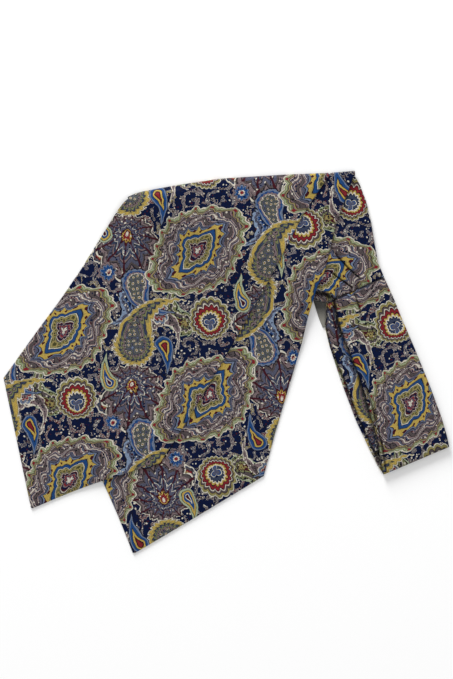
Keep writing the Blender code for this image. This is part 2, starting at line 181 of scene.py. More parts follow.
def smooth(x):
    """An even rise from 0 to 1 as x goes from 0 to 1, level at both ends."""
    x = np.clip(x, 0.0, 1.0)
    return x * x * (3.0 - 2.0 * x)


def fold_height(x):
    """The fold outline's y at x, with its corners eased over a few millimetres."""
    xs, ys = np.array(FOLD_OUTLINE).T
    return sum(np.interp(x + shift, xs, ys) for shift in FOLD_EASING) / len(FOLD_EASING)


def fold_row(x, turn_radius):
    """Axis points of the top fold, the directions out of it and the turn's radius at each."""
    slope = (fold_height(x + 1.0) - fold_height(x - 1.0)) / 2.0
    outward = np.stack([-slope, np.ones(len(x))], axis=1)
    outward /= np.linalg.norm(outward, axis=1)[:, None]
    alone = smooth((x - LONE_TURN_FROM) / (LONE_TURN_FULL - LONE_TURN_FROM))
    pressed = np.clip((FLAT_END_FROM - x) / (FLAT_END_FROM - x[0] + SLIGHT), 0.0, 1.0)
    share = 1.0 - (1.0 - FLAT_END_SHARE) * pressed
    reach = (OUTER_TURN + (INNER_TURN - OUTER_TURN) * alone) * share + BLADE_WALL / 2.0
    axis = np.stack([x, fold_height(x)], axis=1) - outward * reach[:, None]
    return axis, outward, turn_radius * share


print("fold's height at its middle", round(float(fold_height(0.0)), 1), "mm")

# %% [markdown]
# A cloth is built on a grid of points seen from above: each row runs across it, and the rows follow
# one another along it. A curve could give the same outline, but a grid worked out from a few named
# points keeps its rows even, and even rows take a crease cleanly.

# %% Lines and grids in plan
BOW_POWER = 3
END_POWER = 12


def from_axis(origin, heading, along, left):
    """A point given along an axis and to its left."""
    return np.array([
        origin[0] + along * cos(heading) - left * sin(heading),
        origin[1] + along * sin(heading) + left * cos(heading),
    ])


def spaced(points, count):
    """Points at even distances along a line through the given ones."""
    points = np.array(points, float)
    steps = np.linalg.norm(np.diff(points, axis=0), axis=1)
    run = np.concatenate([[0.0], np.cumsum(steps)])
    wanted = np.linspace(0.0, run[-1], count)
    return np.stack([np.interp(wanted, run, points[:, k]) for k in (0, 1)], axis=1)


def cloth_plan(left, right, last_row):
    """A grid of plan points from the first row to the last one, which may be curved."""
    rows = len(left)
    across = np.linspace(0.0, 1.0, len(last_row))[None, :, None]
    plan = left[:, None, :] * (1.0 - across) + right[:, None, :] * across
    bow = last_row - plan[-1]
    share = (np.arange(rows) / (rows - 1.0)) ** BOW_POWER
    return plan + share[:, None, None] * bow[None]


def ended_at(line, last):
    """The line with its last stretch drawn over to a given point."""
    part = np.linspace(0.0, 1.0, len(line))[:, None] ** END_POWER
    return line + (last - line[-1]) * part


# %% [markdown]
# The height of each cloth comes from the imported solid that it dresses: a ray is dropped on the solid
# at every point of the fine grid. The result is softened, because the solid's facets would show as
# flats in the sheen of silk.

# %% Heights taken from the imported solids
SOFTENING = 0.6
RAY_START = 0.05


def solid_tree(node):
    """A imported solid, ready for rays."""
    depsgraph = bpy.context.evaluated_depsgraph_get()
    return BVHTree.FromObject(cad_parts[node], depsgraph)


def softened(heights, passes):
    """The grid with each point drawn to the mean of its neighbours; the last row stays."""
    for _ in range(passes):
        wide = np.pad(heights, 1, mode="edge")
        mean = (wide[:-2, 1:-1] + wide[2:, 1:-1] + wide[1:-1, :-2] + wide[1:-1, 2:]) / 4.0
        mean[-1] = heights[-1]
        heights = (1.0 - SOFTENING) * heights + SOFTENING * mean
    return heights


def solid_top(node, plan, least, passes):
    """Heights of a solid's top over a plan grid, in mm and never under the least."""
    tree = solid_tree(node)
    heights = np.array(np.broadcast_to(least, plan.shape[:2]), float)
    for index in np.ndindex(heights.shape):
        x, y = MM * (plan[index] - PLAN_CENTRE)
        hit = tree.ray_cast(Vector((x, y, RAY_START)), DOWN)[0]
        if hit is not None:
            heights[index] = max(heights[index], hit.z / MM)
    heights[:, 0] = heights[:, 1]
    heights[:, -1] = heights[:, -2]
    return softened(heights, passes)


# %% [markdown]
# A shell is lofted through rings. Each ring runs over the top of the cloth from left to right, round
# the edge and back underneath. A sheet with a Solidify modifier would have square edges, while a ring
# gives rounded ones, and it also carries where each point lies on the flat cloth, which the print
# needs, and the painted shade of creases and seams on its top.

# %% Rings
EDGE_ANGLES = np.radians([90.0, 60.0, 30.0, 0.0, -30.0, -60.0, -90.0])
WIDEST_EDGE = 0.45


def ring(plan, middle, half, flat=None, outward=None, turn=0.0, pressed=0.0):
    """Points of one closed ring, where each lies on the flat cloth and its painted shade."""
    flat = plan if flat is None else flat
    outward = np.zeros_like(plan) if outward is None else outward
    count = len(plan)
    shares = np.linspace(0.0, 1.0, count)
    width = np.linalg.norm(plan[-1] - plan[0])
    edge = min(float(np.mean(half)) / width, WIDEST_EDGE)
    inner = edge + shares * (1.0 - 2.0 * edge)
    insets = edge * (1.0 - np.cos(EDGE_ANGLES[1:-1]))
    sides = np.sin(EDGE_ANGLES[1:-1])
    share = np.concatenate([inner, 1.0 - insets, inner[::-1], insets[::-1]])
    side = np.concatenate([np.ones(count), sides, -np.ones(count), sides[::-1]])

    def read(values):
        return np.interp(share, shares, np.broadcast_to(values, shares.shape))

    out = side * read(half)
    x = read(plan[:, 0]) + read(outward[:, 0]) * out * sin(turn)
    y = read(plan[:, 1]) + read(outward[:, 1]) * out * sin(turn)
    z = read(middle) + out * cos(turn)
    cloth = np.stack([read(flat[:, 0]), read(flat[:, 1])], axis=1)
    return np.stack([x, y, z], axis=1), cloth, read(pressed) * (side * cos(turn) > 0.0)


def flat_rings(plan, top, wall, turn=0.0, flat=None, pressed=None):
    """Rings of a cloth that lies flat, from the heights of its top and its wall thickness."""
    flat = plan if flat is None else flat
    pressed = np.zeros(plan.shape[:2]) if pressed is None else pressed
    return [ring(plan[i], top[i] - wall[i] / 2.0, wall[i] / 2.0, flat[i], None, turn, pressed[i])
            for i in range(len(plan))]


def turned_rings(axis, outward, reach, radius, axis_height, wall, steps):
    """Rings of a cloth's half turn about a fold's axis."""
    half = np.full(len(axis), wall / 2.0)
    rings = []
    for step in range(1, steps + 1):
        turn = pi * step / steps
        plan = axis + outward * reach[:, None] * sin(turn)
        flat = axis + outward * reach[:, None] * turn
        middle = axis_height + radius * cos(turn)
        rings.append(ring(plan, middle, half, flat, outward, turn))
    return rings


# %% [markdown]
# The rings are joined by a skin of four-sided faces, and each end is closed by a strip of the same
# kind between top and underside. Blender then turns all faces outward and shades them smooth. The
# print's coordinates go into a UV map in metres of cloth, so that every piece is printed at one scale
# whatever way it is folded. A table says how far each piece's print is turned, in degrees, and shifted,
# in mm.

# %% Shells
def end_fan(start, count, size, flip):
    """Faces that close a shell at an end ring: a strip between its top and its underside."""
    extra = len(EDGE_ANGLES) - 2
    under = [size - extra - 1 - k for k in range(count)]
    faces = [(k, k + 1, under[k + 1], under[k]) for k in range(count - 1)]
    faces.append(tuple(range(count - 1, count + extra + 1)))
    faces.append((0, *range(size - 1, size - extra - 2, -1)))
    faces = [tuple(start + k for k in face) for face in faces]
    return [face[::-1] for face in faces] if flip else faces


PRINTS = dict(
    front_blade=(2.0, (0.0, 0.0)),
    back_blade=(192.0, (-38.0, 68.0)),
    front_gather=(40.0, (22.0, 35.0)),
    back_gather=(-14.0, (-77.7, 5.0)),
    neck_band=(18.5, (-149.0, 167.8)),
    band_pleat=(22.0, (48.0, -30.0)),
    band_lining=(0.0, (0.0, 0.0)),
)


def shell(name, rings, columns, print_turn, print_shift):
    """A closed, smooth mesh through the rings, with its print coordinates in metres of cloth."""
    size = len(rings[0][0])
    points, flats, pressed = (np.concatenate(part) for part in zip(*rings))
    points = MM * (points - (*PLAN_CENTRE, 0.0))
    flats = MM * flats
    angle = radians(print_turn)
    shift = np.array(print_shift) * MM
    across = flats[:, 0] * cos(angle) + flats[:, 1] * sin(angle) + shift[0]
    along = flats[:, 1] * cos(angle) - flats[:, 0] * sin(angle) + shift[1]
    faces = []
    for i in range(len(rings) - 1):
        for k in range(size):
            a = i * size + k
            b = i * size + (k + 1) % size
            faces.append((a, b, b + size, a + size))
    last = (len(rings) - 1) * size
    faces += end_fan(0, columns, size, False) + end_fan(last, columns, size, True)
    mesh = bpy.data.meshes.new(name)
    mesh.from_pydata(points.tolist(), [], faces)
    mesh.validate()
    # The painted shade of creases and seams is kept on the mesh as a value, which darkens the silk's
    # colour.
    mesh.attributes.new("pressed", "FLOAT", "POINT").data.foreach_set("value", pressed)
    layer = mesh.uv_layers.new(name="print")
    corners = np.zeros(len(mesh.loops), dtype=int)
    mesh.loops.foreach_get("vertex_index", corners)
    layer.data.foreach_set("uv", np.stack([across[corners], along[corners]], axis=1).ravel())
    thing = bpy.data.objects.new(name, mesh)
    bpy.context.collection.objects.link(thing)
    bpy.ops.object.select_all(action="DESELECT")
    thing.select_set(True)
    bpy.context.view_layer.objects.active = thing
    bpy.ops.object.mode_set(mode="EDIT")
    bpy.ops.mesh.select_all(action="SELECT")
    bpy.ops.mesh.normals_make_consistent(inside=False)
    bpy.ops.object.mode_set(mode="OBJECT")
    bpy.ops.object.shade_smooth()
    thing.select_set(False)
    print(name, "faces", len(mesh.polygons))
    return thing


# %% [markdown]
# Silk that has been folded and carried keeps soft creases. Each one here is a line in plan with a
# height and a width: a low ridge where the number is above nought and a trough where it is below.
# They are placed one by one, uneven in length and depth, and they fade out at their ends.

# %% Creases
CREASE_FADE = 0.25


def crease_relief(plan, creases):
    """Sum of the creases' heights over a plan grid; a bow bends its line most at the middle."""
    relief = np.zeros(plan.shape[:2])
    for crease in creases:
        start = np.array(crease["start"])
        end = np.array(crease["end"])
        run = end - start
        length = np.linalg.norm(run)
        run = run / length
        offset = plan - start
        along = (offset @ run) / length
        side = offset @ np.array([-run[1], run[0]])
        side = side - crease.get("bow", 0.0) * 4.0 * along * (1.0 - along)
        fade = smooth(along / CREASE_FADE) * smooth((1.0 - along) / CREASE_FADE)
        relief += crease["height"] * fade * np.exp(-(side / crease["width"]) ** 2)
    return relief


# %% [markdown]
# A pressed pleat is a fold laid flat. Seen from above, the cloth rises slowly to the folded edge and
# drops sharply off it, where a thin line of shade shows. Real pleats hide their layers; here the
# surface takes only the shape that is seen, a slope and a step with a narrow groove, and stays one
# cloth. The grooves are also painted dark later, as painted shade.

# %% Pleats
FAR = 1e9
PLEAT_REACH = 3.0
GROOVE_WIDTH = 0.7


def pleat_steps(plan, pleats):
    """The relief of pressed pleats over a plan grid, and the grooves beside them."""
    relief = np.zeros(plan.shape[:2])
    grooves = np.zeros(plan.shape[:2])
    for pleat in pleats:
        line = np.array(pleat["line"])
        side = np.full(plan.shape[:2], FAR)
        along = np.zeros(plan.shape[:2])
        lengths = np.linalg.norm(np.diff(line, axis=0), axis=1)
        run = np.concatenate([[0.0], np.cumsum(lengths)])
        for k in range(len(line) - 1):
            step = (line[k + 1] - line[k]) / lengths[k]
            offset = plan - line[k]
            reach = np.clip(offset @ step, 0.0, lengths[k])
            near = line[k] + reach[..., None] * step
            distance = np.linalg.norm(plan - near, axis=2)
            sign = np.sign(offset @ np.array([-step[1], step[0]]))
            closer = distance < np.abs(side)
            side = np.where(closer, distance * sign, side)
            along = np.where(closer, run[k] + reach, along)
        share = along / run[-1]
        fade = smooth(share / pleat["fade_in"]) * smooth((1.0 - share) / pleat["fade_out"])
        rise = np.where(side < 0.0, np.exp(-(side / pleat["spread"]) ** 2), 0.0)
        fall = np.where(side >= 0.0, 1.0 - smooth(side / pleat["drop"]), 0.0)
        near_end = (np.abs(side) < PLEAT_REACH * pleat["spread"]) * (share > 0.0) * (share < 1.0)
        relief += pleat["height"] * fade * (rise + fall) * near_end
        narrow = pleat.get("narrow", GROOVE_WIDTH)
        grooves += pleat["groove"] * fade * np.exp(-((side - pleat["drop"]) / narrow) ** 2)
    return relief, grooves


# %% [markdown]
# A blade is a flat tube of silk. It is widest at the corners of its point and lies a little fuller
# in its middle than at its pressed edges. It runs up to the top fold, turns round it and ends under
# it, where it meets the silk that spreads from the neckband.

# %% Plan of a blade
BLADE_COLUMNS = 97
BLADE_PASSES = (3, 4)
POINT_ROWS = 40
BLUNT_TIP = 0.012
TURN_STEPS = 10
BLADE_FULLNESS = 0.5
FULLNESS_REACH = 14.0
FOLD_ROWS = 8.0
FOLD_SPANS = dict(front=(-79.0, 82.0), back=(-67.5, 102.9))


def edge_distance(plan):
    """Distance of each grid point from the nearer side edge of its row."""
    left = np.linalg.norm(plan - plan[:, :1], axis=2)
    right = np.linalg.norm(plan - plan[:, -1:], axis=2)
    return np.minimum(left, right)


def blade_plan(blade, fold):
    """Plan points of a blade from its tip, over the two corners of its point, to the fold."""
    tip = np.array(blade["tip"])
    heading = radians(blade["heading"])
    left = np.array([from_axis(tip, heading, *place) for place in blade["left"]])
    right = np.array([from_axis(tip, heading, *place) for place in blade["right"]])
    left_line = ended_at(spaced(left, blade["rows"]), fold[0])
    right_line = ended_at(spaced(right, blade["rows"]), fold[-1])
    body = cloth_plan(left_line, right_line, fold)
    shares = np.linspace(BLUNT_TIP, 1.0, POINT_ROWS + 1)[:-1]
    point = tip + shares[:, None, None] * (body[0] - tip)[None]
    across = np.linspace(0.0, 1.0, len(fold))
    inward = body[0, -1] - body[0, 0]
    inward = inward / np.linalg.norm(inward)
    drawn = blade["bows"][0] * (1.0 - across) ** 2 - blade["bows"][1] * across ** 2
    bend = np.sin(pi * shares)[:, None] * drawn[None]
    point += bend[:, :, None] * inward
    return np.concatenate([point, body])


# %% [markdown]
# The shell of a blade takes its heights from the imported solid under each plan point, smoothed so that
# no facet shows. Creases and a little fullness are added and fade out before the fold, where the cloth
# is drawn round its turn. The rings of the turn and of the short end under it come last.

# %% Shell of a blade
def blade_shell(name, node, blade, stations, radius, creases, print_turn, print_shift):
    """A blade with its turn round the fold and the short end under it."""
    axis, outward, radii = fold_row(stations, radius)
    plan = blade_plan(blade, axis)
    fold_top = FOLD_AXIS_HEIGHT + radii + BLADE_WALL / 2.0
    top = solid_top(node, plan, BLADE_WALL, BLADE_PASSES[0])
    top[-1] = fold_top
    top = softened(top, BLADE_PASSES[1])
    rows = np.arange(len(plan))[:, None]
    to_fold = smooth((len(plan) - 1 - rows) / FOLD_ROWS)
    fullness = BLADE_FULLNESS * smooth(edge_distance(plan) / FULLNESS_REACH)
    lift = np.maximum(fullness + crease_relief(plan, creases), 0.0) * to_fold
    wall = np.full(plan.shape[:2], BLADE_WALL)
    rings = flat_rings(plan, top + lift, wall)
    rings += turned_rings(axis, outward, radii, radii, FOLD_AXIS_HEIGHT, BLADE_WALL, TURN_STEPS)
    end = axis - outward * SEAM_DEPTH
    end_flat = axis + outward * (radii * pi + SEAM_DEPTH)[:, None]
    half = np.full(len(axis), BLADE_WALL / 2.0)
    rings.append(ring(end, FOLD_AXIS_HEIGHT - radii, half, end_flat, outward, pi))
    return shell(name, rings, len(axis), print_turn, print_shift)


# %% [markdown]
# The front blade is the end that lies on top. A heading and widths to the left and right of its axis
# give its outline, as a cutter would mark it out on silk. Five creases cross it: they could be painted
# on as a bump, but only a real slope turns the sheen and the outline a little.

# %% Front blade
FRONT_BLADE = dict(
    tip=(-156.0, -117.2), heading=61.4, bows=(0.0, 3.0), rows=136,
    left=[(81.4, 69.6), (128.0, 63.9), (158.0, 59.7), (187.0, 56.8), (243.0, 53.6),
          (251.0, 52.4), (256.0, 50.8)],
    right=[(81.6, -72.9), (123.6, -76.0), (182.1, -78.2), (254.8, -79.5), (310.2, -78.0),
           (346.0, -79.6)])
FRONT_CREASES = [
    dict(start=(-70.0, 118.0), end=(8.0, 96.0), height=0.5, width=7.0, bow=3.0),
    dict(start=(-100.0, 70.0), end=(-20.0, 88.0), height=-0.4, width=6.0, bow=-4.0),
    dict(start=(0.0, 138.0), end=(40.0, 70.0), height=0.5, width=8.0, bow=2.0),
    dict(start=(-150.0, -20.0), end=(-60.0, 12.0), height=0.4, width=9.0, bow=4.0),
    dict(start=(-130.0, -80.0), end=(-90.0, -30.0), height=-0.3, width=6.0, bow=0.0),
]

front_blade = blade_shell(
    "front_blade_silk", "front_blade", FRONT_BLADE,
    np.linspace(*FOLD_SPANS["front"], BLADE_COLUMNS), OUTER_TURN, FRONT_CREASES,
    *PRINTS["front_blade"])

# %% [markdown]
# The back blade is the other end of the same strip. It shows below and to the right of the front one
# and turns round the fold inside it. Its print is turned almost half round, because the strip comes
# back on itself.

# %% Back blade
BACK_BLADE = dict(
    tip=(-74.4, -153.2), heading=73.15, bows=(3.4, -0.4), rows=136,
    left=[(91.0, 82.0), (180.0, 81.0), (274.0, 80.4)],
    right=[(90.0, -81.8), (124.0, -80.6), (199.0, -80.2), (223.0, -78.8), (246.0, -78.9),
           (262.0, -81.0), (300.0, -78.6), (341.0, -81.2)])
BACK_CREASES = [
    dict(start=(-62.0, -120.0), end=(20.0, -70.0), height=0.4, width=8.0, bow=3.0),
    dict(start=(38.0, -40.0), end=(66.0, 30.0), height=0.4, width=6.0, bow=-2.0),
    dict(start=(-20.0, -60.0), end=(40.0, -20.0), height=-0.3, width=7.0, bow=3.0),
]

back_blade = blade_shell(
    "back_blade_silk", "back_blade", BACK_BLADE,
    np.linspace(*FOLD_SPANS["back"], BLADE_COLUMNS), INNER_TURN, BACK_CREASES,
    *PRINTS["back_blade"])

# %% [markdown]
# The neckband leaves the rest at a slant and has its own axis. A table gives its widths along it, on
# the right and on the left: the upper half's panel, the pleat that shows beside it and the half that
# lies under both. The stitch line at its start is needed first, by the silk that is sewn to it.

# %% Plan of the neckband
BAND_START = (105.8, 60.4)
BAND_HEADING = radians(-71.53)
BAND_FOLD_SKEW = -4.4
BAND_SECTIONS = [
    dict(along=1.5, right=21.8, panel=-21.6, pleat=-27.8, under=-28.5),
    dict(along=19.0, right=23.6, panel=-24.2, pleat=-35.0, under=-35.6),
    dict(along=35.0, right=24.6, panel=-24.1, pleat=-36.4, under=-37.0),
    dict(along=65.0, right=27.1, panel=-22.6, pleat=-34.6, under=-37.1),
    dict(along=98.0, right=29.1, panel=-23.4, pleat=-33.2, under=-35.8),
    dict(along=122.0, right=29.8, panel=-25.2, pleat=-30.4, under=-33.0),
    dict(along=138.0, right=29.2, panel=-27.8, pleat=-29.0, under=-30.9),
    dict(along=144.3, right=28.4, panel=-28.8, pleat=-28.8, under=-28.8),
]
UNDER_INSET = 0.8


def band_edges(side, lengths):
    """How far one edge of the band lies from its axis at the given lengths."""
    along = [section["along"] for section in BAND_SECTIONS]
    return np.interp(lengths, along, [section[side] for section in BAND_SECTIONS])


def band_plan(side, start, end, rows, columns, right_inset=0.0):
    """Plan points down the band between a left edge and the right edge."""
    lengths = np.linspace(start, end, rows)
    left = band_edges(side, lengths)
    right = band_edges("right", lengths) - right_inset
    across = np.linspace(0.0, 1.0, columns)
    plan = np.zeros((rows, columns, 2))
    for i in range(rows):
        place = left[i] + (right[i] - left[i]) * across
        skew = BAND_FOLD_SKEW * place / (right[i] - left[i])
        for k in range(columns):
            plan[i, k] = from_axis(BAND_START, BAND_HEADING, lengths[i] + skew[k], place[k])
    return plan


def stitch_line(side, right_inset, offset):
    """Both ends of the line where the band starts, moved up the spread silk by an offset."""
    row = band_plan(side, BAND_SECTIONS[0]["along"], BAND_SECTIONS[0]["along"], 1, 2, right_inset)[0]
    return row + from_axis((0.0, 0.0), BAND_HEADING, -offset, 0.0)


# %% [markdown]
# From the stitch line the silk spreads like a fan up to the top fold, with its pleats pressed flat.
# The half that belongs to the front blade lies under the other and shows only in the crook, so it has
# a coarser grid. Both are one function with two sets of sizes.

# %% Spread silk
HIDDEN_GRID = (97, 90)
SHOWN_GRID = (221, 170)
SPREAD_PASSES = 2
THINNEST = 0.4
SEAM_SHADE = 0.9
SEAM_SHADE_SPAN = dict(right_from=0.48, right_over=0.08, left_to=0.24, left_over=0.06)
BACK_SPREAD_LEFT = [(8.0, 100.0), (50.0, 66.0), (70.0, 58.2), (79.0, 56.6), (84.2, 54.6)]
BACK_SPREAD_RIGHT = [(106.6, 142.6), (111.8, 129.0), (115.9, 111.6), (118.6, 95.0), (121.5, 79.6)]
FRONT_SPREAD_LEFT = [(0.0, 96.0), (40.0, 65.0), (60.0, 54.0), (69.0, 50.2), (75.0, 49.4)]
FRONT_SPREAD_RIGHT = [(98.0, 130.0), (108.0, 108.0), (113.0, 88.0), (118.0, 74.0)]
FAN_PLEATS = [
    dict(line=[(80.0, 96.0), (87.5, 84.9), (96.9, 74.6), (107.8, 65.0)],
         height=1.5, spread=7.0, drop=0.9, groove=1.1, fade_in=0.35, fade_out=0.08),
    dict(line=[(80.0, 74.0), (88.6, 67.1), (93.7, 63.6), (101.4, 58.0)],
         height=1.4, spread=6.0, drop=0.9, groove=1.1, fade_in=0.30, fade_out=0.08),
    dict(line=[(113.0, 96.0), (114.5, 84.0), (117.0, 70.0)],
         height=0.6, spread=5.0, drop=1.4, groove=0.4, fade_in=0.5, fade_out=0.2),
]
# The crook's lines are grooves with no rise; their cut is also painted dark, as painted shade in the
# crook.
CROOK_PLEATS = [
    dict(line=[(62.0, 59.0), (70.0, 56.4), (79.0, 54.4), (86.0, 51.0)],
         height=0.0, spread=3.0, drop=0.2, narrow=1.5, groove=1.3, fade_in=0.2, fade_out=0.1),
    dict(line=[(61.0, 54.0), (68.0, 51.2), (74.0, 50.2), (79.0, 49.0)],
         height=0.0, spread=3.0, drop=0.0, narrow=0.9, groove=0.9, fade_in=0.2, fade_out=0.5),
]


# %% [markdown]
# Along its stitch line the spread silk is painted dark, as painted shade of the seam. Its wall grows
# thicker towards the band, since more layers lie inside. The grooves beside the pleats are cut into
# it, but never through it, and painted dark too, as painted shade.

# %% Shell of the spread silk
def painted_seam_shade(plan):
    """Painted shade along the seam: by its first row, most at the two ends."""
    away = np.linalg.norm(plan - plan[:1], axis=2)
    share = np.linspace(0.0, 1.0, plan.shape[1])
    drawn = smooth((share - SEAM_SHADE_SPAN["right_from"]) / SEAM_SHADE_SPAN["right_over"])
    drawn = drawn + smooth((SEAM_SHADE_SPAN["left_to"] - share) / SEAM_SHADE_SPAN["left_over"])
    return drawn * np.exp(-(away / SEAM_SHADE) ** 2)


def spread_shell(name, node, span, grid, radius, left, right, stitch, pleats, turn, shift):
    """The silk from the stitch line up to the fold; it thickens towards the stitching."""
    columns, rows = grid
    axis, outward = fold_row(np.linspace(*span, columns), radius)[:2]
    last = axis - outward * (SEAM_DEPTH + SEAM_GAP)
    left_line = spaced([stitch[0]] + left[::-1] + [last[0]], rows)
    right_line = spaced([stitch[1]] + right[::-1] + [last[-1]], rows)
    plan = cloth_plan(left_line, right_line, last)
    down = np.linspace(1.0, 0.0, rows)[:, None]
    wall = BLADE_WALL + (THROAT_WALL - BLADE_WALL) * smooth(down) * np.ones(plan.shape[:2])
    top = solid_top(node, plan, wall, SPREAD_PASSES)
    relief, grooves = pleat_steps(plan, pleats)
    grooves = np.minimum(grooves, wall - THINNEST)
    # Painted shade: the silk is darkened in its grooves and along the seam.
    pressed = np.clip(grooves + painted_seam_shade(plan), 0.0, 1.0)
    rings = flat_rings(plan, top + relief - grooves, wall - grooves, pressed=pressed)
    return shell(name, rings, columns, turn, shift)


front_gather = spread_shell(
    "front_gather_silk", "front_gather", FOLD_SPANS["front"], HIDDEN_GRID, OUTER_TURN,
    FRONT_SPREAD_LEFT, FRONT_SPREAD_RIGHT, stitch_line("under", UNDER_INSET, SEAM_GAP),
    CROOK_PLEATS, *PRINTS["front_gather"])
back_gather = spread_shell(
    "back_gather_silk", "back_gather", FOLD_SPANS["back"], SHOWN_GRID, INNER_TURN,
    BACK_SPREAD_LEFT, BACK_SPREAD_RIGHT, stitch_line("panel", 0.0, SEAM_GAP), FAN_PLEATS,
    *PRINTS["back_gather"])

# %% [markdown]
# The neckband is the narrow strip round the neck, pleated lengthwise so that a wide silk lies in a
# strip two fingers across. It is folded in half at its middle: an upper half, the turn and a lower
# half on the surface. A narrow tuck follows its left edge, and one more pleat shows beside it.

# %% Neckband
BAND_COLUMNS = 101
BAND_ROWS = 220
BAND_PASSES = (1, 2)
BAND_FOLD_ROWS = 6.0
BAND_LIFT = 0.25
DEEPEST_CREASE = -0.7
TUCK = dict(start=62.0, fade=20.0, from_edge=3.2, width=0.9, groove=1.0)
EDGE_SHADE = 1.0
EDGE_SHADE_WIDTH = 0.9
UNDER_SHADE = 0.95
UNDER_SHADE_WIDTH = 1.1
BAND_CREASES = [
    dict(start=(93.0, 10.0), end=(106.0, -44.0), height=0.3, width=2.5, bow=1.0),
    dict(start=(118.0, 40.0), end=(148.0, -50.0), height=-0.3, width=3.0, bow=-2.0),
    dict(start=(136.0, -38.0), end=(146.0, -78.0), height=-0.9, width=1.0, bow=0.6),
    dict(start=(128.0, 30.0), end=(160.0, -66.0), height=0.3, width=5.0, bow=2.0),
]

BAND_PLEATS = [
    dict(line=[(100.8, 57.0), (105.9, 42.5), (109.0, 28.0)],
         height=0.8, spread=5.0, drop=0.9, groove=1.1, fade_in=0.1, fade_out=0.6),
    dict(line=[(84.0, 52.0), (86.5, 42.0), (88.0, 26.0)],
         height=0.5, spread=4.0, drop=0.9, groove=0.9, fade_in=0.1, fade_out=0.6),
]


# %% [markdown]
# The band's rings run down the upper half, round the turn at its lower end and back up the lower half
# on the surface. Creases and pleats fade out before the turn. The lower half is flat, and dark where
# the layers above it keep the light away.

# %% Shell of the neckband
def neck_band_shell(print_turn, print_shift):
    """The upper half of the band, its turn and the half that lies under it."""
    start = BAND_SECTIONS[0]["along"]
    end = BAND_SECTIONS[-1]["along"]
    plan = band_plan("panel", start, end, BAND_ROWS, BAND_COLUMNS)
    top = solid_top("neck_band", plan, BAND_WALL, BAND_PASSES[0])
    top[-1] = BAND_AXIS_HEIGHT + BAND_TURN + BAND_WALL / 2.0
    top = softened(top, BAND_PASSES[1])
    rows = np.arange(BAND_ROWS)[:, None]
    to_fold = smooth((BAND_ROWS - 1 - rows) / BAND_FOLD_ROWS)
    lengths = np.linspace(start, end, BAND_ROWS)[:, None]
    from_left = np.linalg.norm(plan - plan[:, :1], axis=2)
    groove = TUCK["groove"] * np.exp(-((from_left - TUCK["from_edge"]) / TUCK["width"]) ** 2)
    groove = groove * smooth((lengths - TUCK["start"]) / TUCK["fade"])
    pressed, cut = pleat_steps(plan, BAND_PLEATS)
    cut = np.minimum(cut + groove, BAND_WALL - THINNEST) * to_fold
    relief = np.maximum(crease_relief(plan, BAND_CREASES) + BAND_LIFT, DEEPEST_CREASE) + pressed
    top = top + relief * to_fold - cut
    wall = BAND_WALL - cut
    outward = np.tile(from_axis((0.0, 0.0), BAND_HEADING, 1.0, 0.0), (BAND_COLUMNS, 1))
    reach = np.full(BAND_COLUMNS, BAND_TURN)
    # Painted shade on the upper half: darker in its grooves and tuck, along the seam and along the
    # panel's left edge.
    edge_in = EDGE_SHADE * np.exp(-(from_left / EDGE_SHADE_WIDTH) ** 2)
    painted_shade_upper = np.clip(cut + painted_seam_shade(plan) + edge_in, 0.0, 1.0)
    rings = flat_rings(plan, top, wall, pressed=painted_shade_upper)
    rings += turned_rings(plan[-1], outward, reach, BAND_TURN, BAND_AXIS_HEIGHT, BAND_WALL,
                          TURN_STEPS)
    under = band_plan("under", start, end, BAND_ROWS // 2, BAND_COLUMNS, UNDER_INSET)
    under[-1] = plan[-1]
    back = under[-2::-1]
    lengths_back = np.linspace(start, end, BAND_ROWS // 2)[-2::-1]
    beyond = (end - lengths_back + BAND_TURN * pi)[:, None, None]
    flat = plan[-1][None] + outward[None] * beyond
    height = np.full(back.shape[:2], BAND_WALL)
    # Painted shade on the lower half, wherever the pleat and the panel lie over it.
    shown = band_edges("pleat", lengths_back) - band_edges("under", lengths_back)
    in_shade = np.linalg.norm(back - back[:, :1], axis=2) - shown[:, None]
    shade = UNDER_SHADE * np.exp(-(np.minimum(in_shade, 0.0) / UNDER_SHADE_WIDTH) ** 2)
    rings += flat_rings(back, height, height, pi, flat, shade)
    return shell("neck_band_silk", rings, BAND_COLUMNS, print_turn, print_shift)


neck_band = neck_band_shell(*PRINTS["neck_band"])

# %% [markdown]
# Beside the upper half one more pleat shows as a ledge. It is pressed in under the panel, and the silk
# has painted shade along the panel's edge, widest at the top, where the layers stand apart, and along
# its own left edge. It is a narrow shell of its own, tucked under the panel, because a step in one
# surface would stretch there.

# %% Pleat beside the band
PLEAT_START = 2.2
PLEAT_END = 127.0
PLEAT_TUCK = 7.0
PLEAT_COLUMNS = 41
PLEAT_ROWS = 110
PLEAT_PASSES = 2
PLEAT_EDGE_WIDTH = 1.1
LEDGE_SHADE = dict(width=2.1, wider=0.8, depth=0.9, top_until=60.0, top_fade=45.0)


